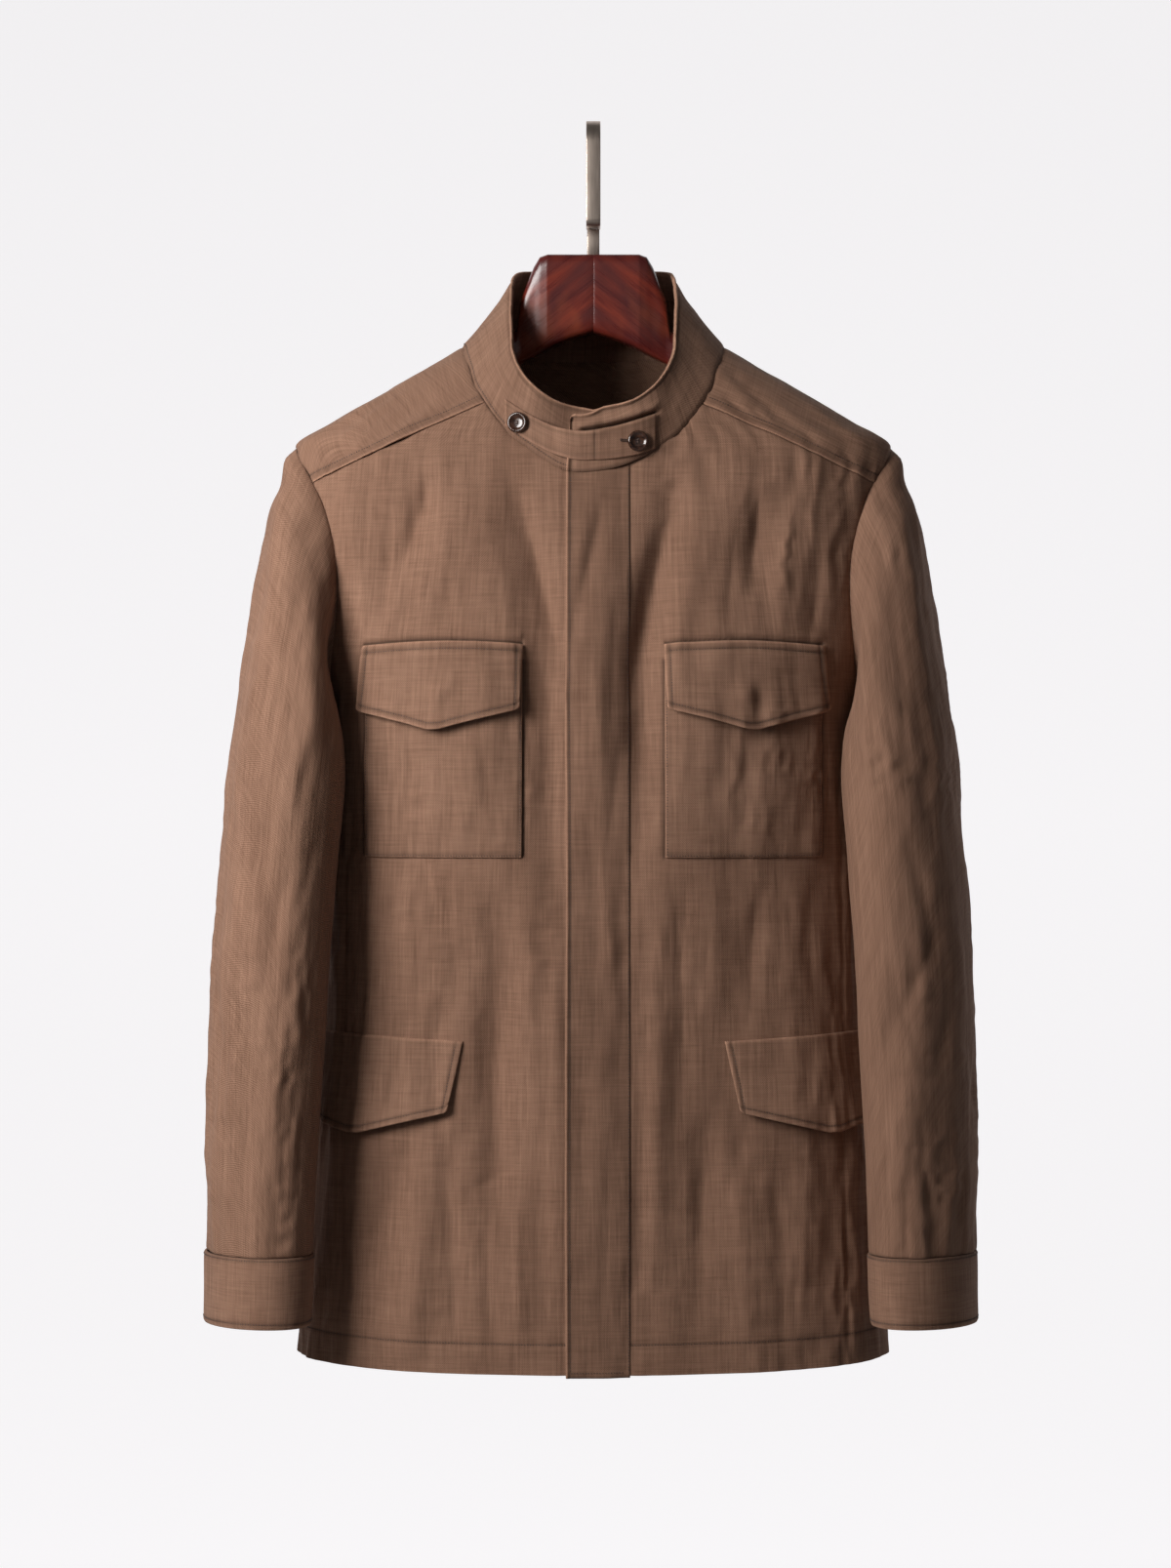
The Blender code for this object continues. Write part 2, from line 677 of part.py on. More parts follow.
def front_yoke_seam():
    start = neck_place(neck_way_at(YOKE_NECK_X))
    end = armhole(FRONT_YOKE_STEP)
    seam = []
    for share in spread(0.0, 1.0, FRONT_SEAM_COLUMNS):
        z = start[1] + (end[1] - start[1]) * share
        end_x = body_face(*end)[0]
        seam.append((angle_at(YOKE_NECK_X + (end_x - YOKE_NECK_X) * share, z), z))
    return seam


def hem_z(angle):
    return HEM_Z_SIDE + (HEM_Z_FRONT - HEM_Z_SIDE) * max(math.cos(math.radians(angle)), 0.0)


def make_front(name, side, edge_x, neck_x):
    """A front panel; edge_x and neck_x are measured towards its own side."""
    ways = [neck_way_at(x) for x in (edge_x,) + neck_x + (YOKE_NECK_X,)]
    top = [neck_place(way) for way in ways] + front_yoke_seam()[1:]
    armpit_turn = 180
    turns = armhole_turns(armpit_turn, FRONT_YOKE_STEP)
    right = [side_seam(z) for z in spread(HEM_Z_SIDE, ARMPIT_Z, SIDE_ROWS)[:-1]]
    right += [armhole(turn) for turn in turns]
    chest_z = ARMPIT_Z - CHEST_ROW_DROP
    heights = spread(HEM_Z_FRONT, chest_z, SIDE_ROWS)[:-1]
    heights += spread(chest_z, top[0][1], len(turns) - 1)
    left = [(angle_at(edge_x, z), z) for z in heights]
    angles = left[0][0] + (right[0][0] - left[0][0]) * lengths_along(top)
    bottom = [(angle, hem_z(angle)) for angle in angles]
    grid = coons(bottom, top, left, right)
    normals = {(-1, index): neck_mitre(side * way) for index, way in enumerate(ways)}
    for index, turn in enumerate(turns):
        normals[SIDE_ROWS + index, -1] = armhole_mitre(side, turn)
    panel(name, grid, [side] * len(grid), normals)


def make_back():
    """The back is one piece from side seam to side seam, below the yoke."""
    turns = armhole_turns(-180, -BACK_YOKE_STEP)
    left = [side_seam(z) for z in spread(HEM_Z_SIDE, ARMPIT_Z, SIDE_ROWS)[:-1]]
    left += [armhole(turn) for turn in turns]
    seam_z = left[-1][1]
    top = [(angle, seam_z) for angle in spread(left[-1][0], 180.0, BACK_HALF_COLUMNS)]
    bottom = [(angle, HEM_Z_SIDE) for angle in spread(left[0][0], 180.0, BACK_HALF_COLUMNS)]
    chest_z = ARMPIT_Z - CHEST_ROW_DROP
    heights = spread(HEM_Z_SIDE, chest_z, SIDE_ROWS)[:-1]
    heights += spread(chest_z, seam_z, len(turns) - 1)
    right = [(180.0, z) for z in heights]
    half = coons(bottom, top, left, right)
    mirrored = half[:, -2::-1] * (-1.0, 1.0) + (360.0, 0.0)
    grid = np.concatenate((half, mirrored), axis=1)
    normals = {}
    for index, turn in enumerate(turns):
        normals[SIDE_ROWS + index, 0] = armhole_mitre(1, turn)
        normals[SIDE_ROWS + index, -1] = armhole_mitre(-1, turn)
    panel("back", grid, [1] * len(grid), normals)


def yoke_neck_ways():
    """Places on the neckline from the front yoke seam over the shoulder to the centre back."""
    start, shoulder = neck_way_at(YOKE_NECK_X), neck_way(90.0)
    return spread(start, shoulder, YOKE_NECK_ROWS)[:-1] + spread(shoulder, 1.0, BACK_NECK_ROWS)


def make_yoke():
    """One piece over both shoulders and across the top of the back."""
    ways = yoke_neck_ways()
    neck = [neck_place(way) for way in ways]
    seam = front_yoke_seam()
    shares = lengths_along(seam)
    ridge = [(90.0, neck[YOKE_NECK_ROWS][1] * (1.0 - share) + SHOULDER_Z * share)
             for share in shares]
    turns = armhole_turns(FRONT_YOKE_STEP, -BACK_YOKE_STEP)
    holes = [armhole(turn) for turn in turns]
    corner = holes[-1]
    seam_rows = len(neck) - len(holes)
    back_seam = [(angle, corner[1]) for angle in spread(corner[0], 180.0, seam_rows)][1:]
    outer = holes + back_seam
    centre = [(180.0, neck[-1][1] * (1.0 - share) + corner[1] * share) for share in shares]
    front = coons(seam, ridge, neck[:YOKE_NECK_ROWS + 1], outer[:YOKE_NECK_ROWS + 1])
    rear = coons(ridge, centre, neck[YOKE_NECK_ROWS:], outer[YOKE_NECK_ROWS:])
    half = np.concatenate((front, rear[1:]))
    grid = np.concatenate((half, half[-2::-1]))
    signs = [1] * len(half) + [-1] * (len(half) - 1)
    normals = {}
    for index, way in enumerate(ways):
        normals[index, 0] = neck_mitre(way)
        normals[len(grid) - 1 - index, 0] = neck_mitre(-way)
    for index, turn in enumerate(turns):
        normals[index, -1] = armhole_mitre(1, turn)
        normals[len(grid) - 1 - index, -1] = armhole_mitre(-1, turn)
    panel("yoke", grid, signs, normals)


# ---------------------------------------------------------------- collar, tab and fly

COLLAR_HEIGHTS = (0.0, 0.25, 0.5, 0.75, 1.0)
COLLAR_END_X = (-0.0140, -0.0182, COLLAR_OVER_END_X)    # last columns, round the corner


def make_collar():
    """One strip from its right end, under, round the neck to its left end, on top."""
    around = yoke_neck_ways()
    ways = [neck_way_at(x) for x in (FRONT_EDGE_RIGHT,) + tuple(-x for x in RIGHT_NECK_X)]
    ways += [-way for way in around]
    ways += [way - 2.0 for way in around[-2::-1]]
    over_x = FRONT_NECK_X[::-1] + FLY_X[:0:-1] + COLLAR_END_X
    ways += [neck_way_at(x) - 2.0 for x in over_x]
    lifts = [collar_lift(body_face(*neck_place(wrapped(way)))[0]) if way < -1.0 else 0.0
             for way in ways]
    inner, outward = [], []
    for height in COLLAR_HEIGHTS:
        row, normals = [], []
        for way, lift in zip(ways, lifts):
            reach = height * collar_top(way)
            normal = collar_normal(way, reach) if height > 0.0 else neck_mitre(way)
            row.append(collar_face(way, reach) + normal * lift)
            normals.append(normal)
        inner.append(row)
        outward.append(normals)
    inner, outward = np.array(inner), np.array(outward)
    inner[0] += unit(inner[1] - inner[0]) * 2.0 * SEAM_INSET
    wall("collar", inner, inner + outward * COLLAR_CLOTH, TWILL_TRIM)


def collar_top(way):
    """The share of the collar's height that its upper end has near its rounded corner."""
    if way > -1.0:
        return 1.0
    to_end = body_face(*neck_place(wrapped(way)))[0] - COLLAR_OVER_END_X
    if to_end > COLLAR_CORNER:
        return 1.0
    fall = COLLAR_CORNER - math.sqrt(max(COLLAR_CORNER ** 2 - (COLLAR_CORNER - to_end) ** 2, 0.0))
    return 1.0 - fall / COLLAR_FRONT_HEIGHT


def tab_out(x):
    """The tab's distance from the collar's inner face."""
    climbed = ramp(x, *TAB_STEP_X)
    return COLLAR_CLOTH + LIE + climbed * collar_lift(x)


def make_tab():
    places = column(TAB, "x")
    upper = smooth_through(places, column(TAB, "upper_z"))
    lower = smooth_through(places, column(TAB, "lower_z"))
    rows = []
    for share in (0.0, 0.5, 1.0):
        row = []
        for x in spread(places[0], places[-1], TAB_COLUMNS):
            way, height = collar_spot(x, lower(x) + (upper(x) - lower(x)) * share)
            row.append(collar(way, height, tab_out(x)))
        rows.append(row)
    sheet("collar_tab", rows, TRIM_CLOTH, TWILL_TRIM)


def make_tab_buttons():
    """Turned buttons with a raised rim and a hollow face."""
    profile = (
        (0.0000, 0.0013), (0.0042, 0.0013), (0.0056, 0.0026), (0.0070, 0.0026),
        (BUTTON_RADIUS, 0.0016), (0.0068, 0.0000), (0.0000, 0.0000),
    )
    for name, (x, z) in BUTTON_SPOTS.items():
        shape = bmesh.new()
        points = [shape.verts.new((radius, 0.0, height)) for radius, height in profile]
        for start, end in zip(points, points[1:]):
            shape.edges.new((start, end))
        piece = add_piece("tab_button_" + name, mesh_from("tab_button_" + name, shape), HORN)
        screw = piece.modifiers.new("turned", "SCREW")
        screw.steps = screw.render_steps = 20
        screw.use_merge_vertices = True
        screw.merge_threshold = 0.00001
        way, height = collar_spot(x, z)
        normal = Vector(collar_normal(way, height))
        out = tab_out(x) + TRIM_CLOTH + BUTTON_SEAT
        piece.location = collar(way, height, out)
        piece.rotation_euler = normal.to_track_quat("Z", "Y").to_euler()


FLY_ROWS = 22


def make_fly():
    """The double strip down the front that hides the closure."""
    columns = []
    for x in FLY_X:
        top = neck_place(neck_way_at(x))[1] - FLY_NECK_GAP
        heights = spread(FLY_BOTTOM_Z, top, FLY_ROWS)
        columns.append([body(angle_at(x, z), z, CLOTH + LIE) for z in heights])
    sheet("front_placket", np.array(columns).swapaxes(0, 1), PLACKET_CLOTH, TWILL)


# ---------------------------------------------------------------- pockets

PATCH_COLUMNS = 7
PATCH_ROWS = 5
FLAP_COLUMNS = 8


def make_pocket(name, side):
    rows = []
    for z in spread(POCKET_BOTTOM_Z, POCKET_TOP_Z, PATCH_ROWS):
        row = spread(POCKET_INNER_X, POCKET_OUTER_X, PATCH_COLUMNS)
        rows.append([body(side * angle_at(x, z), z, CLOTH + LIE) for x in row])
    sheet(name, turned_left_to_right(rows, side), TRIM_CLOTH, TWILL_TRIM)


def flap_rows(top_start, top_end, edge, place, out):
    """Rows of a pointed flap, bottom first; place(along, drop) gives its angle and z."""
    alongs = [edge[0].along, edge[1].along, edge[2].along]
    drops = column(edge, "drop")
    rows = []
    for depth in (1.0, 0.75, 0.5, None, 0.0):
        row = []
        for share in spread(0.0, 1.0, FLAP_COLUMNS):
            free = np.interp(share, (0.0, 0.5, 1.0), alongs)
            longest = np.interp(share, (0.0, 0.5, 1.0), drops)
            part = FLAP_SEAM_ROOM / longest if depth is None else depth
            along = (top_start + (top_end - top_start) * share) * (1.0 - part) + free * part
            angle, z = place(along, longest * part)
            row.append((angle, z, out(longest * part) + FLAP_LIFT * part ** 2))
        rows.append(row)
    return rows


def make_flap(name, side, rows):
    points = [[body(side * angle, z, out) for angle, z, out in row] for row in rows]
    sheet(name, turned_left_to_right(points, side), TRIM_CLOTH, TWILL_TRIM)


def make_chest_flap(name, side):
    def place(x, drop):
        z = CHEST_FLAP_TOP_Z - drop
        return angle_at(x, z), z

    def out(drop):
        return CLOTH + LIE + (TRIM_CLOTH + LIE) * ramp(drop, 0.0, FLAP_SEAM_ROOM)

    make_flap(name, side, flap_rows(*CHEST_FLAP_TOP, CHEST_FLAP_EDGE, place, out))


def make_lower_flap(name, side):
    def place(along, drop):
        z = LOWER_FLAP_Z + LOWER_FLAP_RISE * along / LOWER_FLAP_LENGTH - drop
        return angle_along(angle_at(LOWER_FLAP_X, z), z, along), z

    def out(drop):
        return CLOTH + LIE

    make_flap(name, side, flap_rows(0.0, LOWER_FLAP_LENGTH, LOWER_FLAP_EDGE, place, out))


# ---------------------------------------------------------------- sleeves and cuffs

def tube_normals(points, side):
    around = np.roll(points, -1, axis=1) - np.roll(points, 1, axis=1)
    down = np.gradient(points, axis=0)
    return unit(np.cross(around, down)) * side


def make_sleeve(name, side):
    turns = sleeve_turns()
    inner = np.array([[sleeve_face(side, index, turn) for turn in turns]
                      for index in range(len(SLEEVE_RINGS))])
    outward = tube_normals(inner, side)
    outward[0] = [armhole_mitre(side, turn) for turn in turns]
    shift = inset(inner, closed=True)
    wall(name, inner + shift, inner + shift + outward * CLOTH, TWILL, closed=True)


CUFF_RINGS = (
    SLEEVE_RINGS[-1],
    SleeveRing(0.2837, -0.8705, 0.2065, -0.8705, -0.0664, 0.0486),
    SleeveRing(0.2840, CUFF_BOTTOM_Z, 0.2080, CUFF_BOTTOM_Z, -0.0668, 0.0480),
)


def make_cuff(name, side):
    rows = []
    for ring in CUFF_RINGS:
        points = [sleeve_ellipse(ring, turn, SLEEVE_TWIST) - (side * SLEEVE_SWING, 0.0, 0.0)
                  for turn in sleeve_turns()]
        rows.append([bowed(point * (side, 1.0, 1.0)) for point in points])
    inner = np.array(rows)
    outward = tube_normals(inner, side)
    inner = inner + outward * CUFF_PROUD + inset(inner, closed=True)
    wall(name, inner, inner + outward * CUFF_CLOTH, TWILL_TRIM, closed=True)


# ---------------------------------------------------------------- hanger and hook

def hanger_ring(section, side):
    middle = 0.5 * (section.top + section.bottom)
    half_height = 0.5 * (section.top - section.bottom)
    ring = []
    for index in range(HANGER_SIDES):
        turn = 2.0 * math.pi * index / HANGER_SIDES
        cosine, sine = math.cos(turn), math.sin(turn)
        power = 2.0 / section.squareness
        y = section.half_depth * math.copysign(abs(cosine) ** power, cosine)
        z = middle + half_height * math.copysign(abs(sine) ** power, sine)
        ring.append(bowed(np.array((side * section.x, y, z))))
    return ring


def make_hanger_body():
    """The shaped wood: a flat block at the neck, and an arm in each shoulder."""
    rings = [hanger_ring(section, -1) for section in HANGER_SECTIONS[:0:-1]]
    rings += [hanger_ring(section, 1) for section in HANGER_SECTIONS]
    shape = bmesh.new()
    rows = add_grid(shape, rings, closed=True)
    shape.faces.new(rows[0])
    shape.faces.new(rows[-1][::-1])
    bmesh.ops.recalc_face_normals(shape, faces=shape.faces)
    piece = add_piece("hanger_body", mesh_from("hanger_body", shape), WOOD)
    piece.data.set_sharp_from_angle(angle=math.radians(50.0))


def make_hanger_stem():
    top = HOOK_BOTTOM_Z - STEM_CLEARANCE
    bottom = HANGER_TOP_Z + STEM_CLEARANCE
    shape = bmesh.new()
    bmesh.ops.create_cube(shape, size=1.0)
    bmesh.ops.scale(shape, vec=(STEM_WIDTH, STEM_DEPTH, top - bottom), verts=shape.verts)
    piece = add_piece("hanger_stem", mesh_from("hanger_stem", shape), BRONZE)
    piece.data.shade_flat()
    piece.location = (0.0, 0.0, 0.5 * (top + bottom))


HOOK_ARC_STEPS = 14
HOOK_CORNER_STEPS = 4
HOOK_CORNER_RADIUS = 0.0040


def hook_line():
    """The middle line of the flat band, as (y, z): tail, bend over the rail, front and foot."""
    radius = HOOK_RADIUS + 0.5 * HOOK_THICKNESS
    line = [(radius, -HOOK_RADIUS - HOOK_TAIL)]
    for turn in spread(0.0, math.pi, HOOK_ARC_STEPS):
        line.append((radius * math.cos(turn), -HOOK_RADIUS + radius * math.sin(turn)))
    foot_z = HOOK_BOTTOM_Z + 0.5 * HOOK_THICKNESS
    centre = (-radius + HOOK_CORNER_RADIUS, foot_z + HOOK_CORNER_RADIUS)
    for turn in spread(math.pi, 1.5 * math.pi, HOOK_CORNER_STEPS):
        line.append((centre[0] + HOOK_CORNER_RADIUS * math.cos(turn),
                     centre[1] + HOOK_CORNER_RADIUS * math.sin(turn)))
    line.append((HOOK_SHELF_Y, foot_z))
    return np.array(line)


def make_hook():
    """A flat strip bent over the rail, its outline extruded across its width."""
    line = hook_line()
    along = unit(np.gradient(line, axis=0))
    across = np.column_stack((-along[:, 1], along[:, 0])) * 0.5 * HOOK_THICKNESS
    outline = np.concatenate((line + across, (line - across)[::-1]))
    curve = bpy.data.curves.new("hanger_hook", "CURVE")
    curve.dimensions = "2D"
    curve.fill_mode = "BOTH"
    curve.extrude = 0.5 * HOOK_WIDTH
    spline = curve.splines.new("POLY")
    spline.points.add(len(outline) - 1)
    for point, (y, z) in zip(spline.points, outline):
        point.co = (y, z, 0.0, 1.0)
    spline.use_cyclic_u = True
    piece = add_piece("hanger_hook", curve, BRONZE)
    piece.matrix_world = Matrix(((0, 0, 1, 0), (1, 0, 0, 0), (0, 1, 0, 0), (0, 0, 0, 1)))


# ---------------------------------------------------------------- the whole

def main():
    clear_scene()
    make_front("front_left", 1, FRONT_EDGE_LEFT, FRONT_NECK_X)
    make_front("front_right", -1, -FRONT_EDGE_RIGHT, RIGHT_NECK_X)
    make_back()
    make_yoke()
    make_collar()
    make_tab()
    make_tab_buttons()
    make_fly()
    for word, side in (("right", -1), ("left", 1)):
        make_pocket("chest_pocket_" + word, side)
        make_chest_flap("chest_flap_" + word, side)
        make_lower_flap("lower_flap_" + word, side)
        make_sleeve("sleeve_" + word, side)
        make_cuff("cuff_" + word, side)
    make_hanger_body()
    make_hanger_stem()
    make_hook()


main()
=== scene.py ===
"""The looks of the field jacket on its wooden hanger.

Every cloth piece is a thin shell on its solid's form. The base form is the solids' own: one smooth
surface for the body, body_face(angle, z), one for the collar and one for each sleeve. On top of it
come the creases, listed in the tables below, a fine crumple, and the grooves and puckers
of the sewing. All lengths are metres, in the part's own frame.
"""

import math
from collections import namedtuple

import bmesh
import bpy
import numpy as np
from mathutils import Matrix, Vector


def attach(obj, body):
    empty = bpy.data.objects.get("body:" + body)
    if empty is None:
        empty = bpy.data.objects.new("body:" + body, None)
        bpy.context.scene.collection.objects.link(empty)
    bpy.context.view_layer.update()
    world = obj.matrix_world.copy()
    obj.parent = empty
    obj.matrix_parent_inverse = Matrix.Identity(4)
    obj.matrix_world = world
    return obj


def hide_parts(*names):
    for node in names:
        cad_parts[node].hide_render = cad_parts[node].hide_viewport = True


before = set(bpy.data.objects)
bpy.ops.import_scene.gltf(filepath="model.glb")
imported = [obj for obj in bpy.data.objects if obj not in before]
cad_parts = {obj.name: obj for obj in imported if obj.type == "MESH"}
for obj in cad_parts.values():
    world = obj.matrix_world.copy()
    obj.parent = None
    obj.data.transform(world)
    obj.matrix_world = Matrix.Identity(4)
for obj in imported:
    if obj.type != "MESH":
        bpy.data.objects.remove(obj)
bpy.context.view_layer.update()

# ---------------------------------------------------------------- the solids' own sizes

CLOTH = 0.0015
COLLAR_CLOTH = 0.002
PLACKET_CLOTH = 0.002
TRIM_CLOTH = 0.0012
CUFF_CLOTH = 0.0026
SEAM_INSET = 0.0002
LIE = 0.0008
BOW = 0.25
ROUNDNESS = 2.2
SIDE_SEAM_ANGLE = 104.0
SIDE_SEAM_FULL_Z = -0.6
SHOULDER_Z = -0.2464
ARMPIT_Z = -0.44
ARMHOLE_HALF_DEPTH = 0.0458
FRONT_YOKE_TURN = 45.0
BACK_YOKE_TURN = -60.0
YOKE_NECK_X = 0.0804
FRONT_EDGE_RIGHT = -0.02
FRONT_EDGE_LEFT = 0.0206
HEM_Z_FRONT = -0.9338
HEM_Z_SIDE = -0.926
FLY_X = (-0.0201, 0.0268)
FLY_BOTTOM_Z = -0.935
FLY_NECK_GAP = 0.0008
POCKET_INNER_X = 0.0527
POCKET_OUTER_X = 0.168
POCKET_TOP_Z = -0.408
POCKET_BOTTOM_Z = -0.554
FLAP_SEAM_ROOM = 0.01
LOWER_FLAP_X = 0.0961
LOWER_FLAP_LENGTH = 0.16
LOWER_FLAP_Z = -0.6893
LOWER_FLAP_RISE = 0.0085
CUFF_BOTTOM_Z = -0.8965
CUFF_PROUD = 0.0004
SLEEVE_CLEARANCE = 0.0048
FLAP_ROOM = 0.002
SLEEVE_SWING = 0.002
SLEEVE_TWIST = 0.015
COLLAR_LIFT = 0.0028
COLLAR_LIFT_END_X = 0.056
COLLAR_LIFT_FULL_X = 0.03
COLLAR_OVER_END_X = -0.0198
COLLAR_FRONT_HEIGHT = 0.048
BUTTON_SEAT = 0.0006
HOOK_RADIUS = 0.017
HOOK_THICKNESS = 0.0026
HOOK_WIDTH = 0.0108
HOOK_TAIL = 0.013
HOOK_BOTTOM_Z = -0.079
HOOK_SHELF_Y = 0.0045
STEM_WIDTH = 0.0094
STEM_DEPTH = 0.005
STEM_CLEARANCE = 0.0003
HANGER_TOP_Z = -0.0992


def rows_of(kind, table):
    """A table's rows, with their columns named by a namedtuple."""
    return tuple(kind(*row) for row in table)


Section = namedtuple("Section", "z half_width front back")
SECTIONS = rows_of(Section, (
    (-0.15, 0.065, 0.03, 0.03),
    (-0.17, 0.098, 0.042, 0.045),
    (-0.19, 0.1314, 0.052, 0.058),
    (-0.21, 0.1648, 0.06, 0.068),
    (-0.23, 0.1982, 0.066, 0.076),
    (-0.2464, 0.2235, 0.0705, 0.081),
    (-0.26, 0.2262, 0.074, 0.085),
    (-0.3, 0.222, 0.082, 0.091),
    (-0.35, 0.215, 0.089, 0.0925),
    (-0.4, 0.2065, 0.0945, 0.091),
    (-0.44, 0.2, 0.0965, 0.089),
    (-0.5, 0.199, 0.0975, 0.084),
    (-0.6, 0.201, 0.096, 0.078),
    (-0.7, 0.206, 0.0945, 0.077),
    (-0.8, 0.212, 0.096, 0.08),
    (-0.94, 0.2225, 0.1, 0.086),
))

NeckPoint = namedtuple("NeckPoint", "angle z")
NECKLINE = rows_of(NeckPoint, (
    (0.0, -0.2705),
    (4.5, -0.2652),
    (8.5, -0.2564),
    (12.5, -0.2459),
    (17.1, -0.2344),
    (25.5, -0.2158),
    (32.8, -0.2036),
    (41.6, -0.1911),
    (54.6, -0.18),
    (70.4, -0.1727),
    (90.0, -0.17),
    (140.0, -0.173),
    (180.0, -0.1755),
))

RimPoint = namedtuple("RimPoint", "x y z")
COLLAR_RIM = rows_of(RimPoint, (
    (0.0, -0.076, -0.2225),
    (0.025, -0.0752, -0.217),
    (0.041, -0.0728, -0.207),
    (0.053, -0.0665, -0.192),
    (0.0592, -0.0535, -0.1735),
    (0.0602, -0.032, -0.145),
    (0.0598, -0.0085, -0.123),
    (0.057, 0.01, -0.1125),
    (0.048, 0.026, -0.1085),
    (0.028, 0.036, -0.107),
    (0.0, 0.039, -0.1065),
))

# Soft folds of the solids. A positive depth is a trough, a negative one a ridge.
Fold = namedtuple("Fold", "face x_top z_top x_low z_low half_width depth")
FRONT, BACK = 1, -1
FOLDS = rows_of(Fold, (
    (FRONT, -0.064, -0.25, -0.028, -0.56, 0.026, 0.0055),
    (FRONT, -0.13, -0.255, -0.15, -0.37, 0.024, 0.0035),
    (FRONT, -0.092, -0.29, -0.085, -0.62, 0.026, -0.003),
    (FRONT, 0.066, -0.25, 0.03, -0.52, 0.026, 0.0055),
    (FRONT, 0.124, -0.275, 0.116, -0.41, 0.024, 0.004),
    (FRONT, 0.076, -0.33, 0.06, -0.78, 0.028, -0.003),
    (FRONT, -0.072, -0.57, -0.07, -0.89, 0.026, 0.0055),
    (FRONT, -0.125, -0.72, -0.14, -0.96, 0.03, -0.0035),
    (FRONT, 0.095, -0.59, 0.08, -0.96, 0.028, 0.004),
    (FRONT, 0.0, -0.62, 0.005, -0.96, 0.035, -0.003),
    (BACK, -0.07, -0.3, -0.09, -0.96, 0.032, 0.006),
    (BACK, 0.055, -0.33, 0.07, -0.96, 0.032, 0.007),
    (BACK, 0.135, -0.36, 0.12, -0.86, 0.028, 0.004),
    (BACK, -0.145, -0.42, -0.135, -0.9, 0.028, -0.004),
))

SleeveRing = namedtuple("SleeveRing", "outer_x outer_z inner_x inner_z centre_y half_depth")
SLEEVE_RINGS = rows_of(SleeveRing, (
    (0.2235, -0.2464, 0.2, -0.44, 0.0, 0.0458),
    (0.2252, -0.256, 0.2055, -0.444, -0.002, 0.05),
    (0.2352, -0.277, 0.203, -0.448, -0.006, 0.055),
    (0.2428, -0.2946, 0.198, -0.453, -0.01, 0.059),
    (0.2486, -0.3233, 0.193, -0.46, -0.016, 0.0625),
    (0.253, -0.3482, 0.1885, -0.469, -0.021, 0.0645),
    (0.2571, -0.3734, 0.186, -0.48, -0.026, 0.066),
    (0.2617, -0.4096, 0.185, -0.496, -0.032, 0.067),
    (0.2656, -0.439, 0.1858, -0.513, -0.037, 0.067),
    (0.2692, -0.4682, 0.1872, -0.531, -0.042, 0.0665),
    (0.2717, -0.4973, 0.189, -0.55, -0.046, 0.0655),
    (0.2734, -0.5263, 0.1905, -0.57, -0.05, 0.064),
    (0.2762, -0.5554, 0.192, -0.592, -0.053, 0.0625),
    (0.2797, -0.6131, 0.1955, -0.638, -0.058, 0.06),
    (0.2822, -0.671, 0.1975, -0.687, -0.061, 0.0575),
    (0.2829, -0.7289, 0.2005, -0.738, -0.0635, 0.0545),
    (0.2842, -0.7868, 0.2035, -0.791, -0.065, 0.0515),
    (0.2835, -0.8445, 0.2057, -0.8445, -0.066, 0.049),
))
SLEEVE_BLEND_RINGS = 6
CUFF_RINGS = rows_of(SleeveRing, (
    SLEEVE_RINGS[-1],
    (0.2837, -0.8705, 0.2065, -0.8705, -0.0664, 0.0486),
    (0.284, CUFF_BOTTOM_Z, 0.208, CUFF_BOTTOM_Z, -0.0668, 0.048),
))

TabPoint = namedtuple("TabPoint", "x upper_z lower_z")
TAB = rows_of(TabPoint, (
    (-0.0644, -0.215, -0.2345),
    (-0.0456, -0.227, -0.2468),
    (-0.0253, -0.2365, -0.2573),
    (-0.0087, -0.2394, -0.261),
    (0.0116, -0.2365, -0.26),
    (0.0275, -0.2321, -0.2575),
    (0.0449, -0.226, -0.2518),
))
TAB_STEP_X = (-0.033, -0.018)
BUTTON_SPOTS = {"right": (-0.0548, -0.2325), "left": (0.0318, -0.2465)}

FlapPoint = namedtuple("FlapPoint", "along drop")
CHEST_FLAP_TOP_Z = -0.3963
CHEST_FLAP_TOP = (0.052, 0.17)
CHEST_FLAP_EDGE = rows_of(FlapPoint, (
    (0.0552, 0.0484),
    (0.1149, 0.0668),
    (0.1712, 0.0484),
))
LOWER_FLAP_EDGE = rows_of(FlapPoint, (
    (0.011, 0.053),
    (0.081, 0.074),
    (0.151, 0.059),
))

HangerSection = namedtuple("HangerSection", "x top bottom half_depth squareness")
HANGER_SECTIONS = rows_of(HangerSection, (
    (0.0, HANGER_TOP_Z, -0.1584, 0.015, 6.0),
    (0.016, HANGER_TOP_Z, -0.1628, 0.015, 6.0),
    (0.0345, HANGER_TOP_Z, -0.1712, 0.015, 6.0),
    (0.0405, -0.1012, -0.1742, 0.0136, 5.5),
    (0.045, -0.1085, -0.1766, 0.0124, 5.0),
    (0.055, -0.133, -0.1815, 0.0103, 4.0),
    (0.058, -0.156, -0.184, 0.01, 3.0),
    (0.075, -0.1655, -0.194, 0.0125, 2.5),
    (0.098, -0.1728, -0.2085, 0.016, 2.1),
    (0.14, -0.1972, -0.2345, 0.0195, 2.0),
    (0.175, -0.218, -0.256, 0.021, 2.0),
    (0.193, -0.2288, -0.264, 0.0205, 2.0),
    (0.201, -0.237, -0.261, 0.014, 2.0),
))
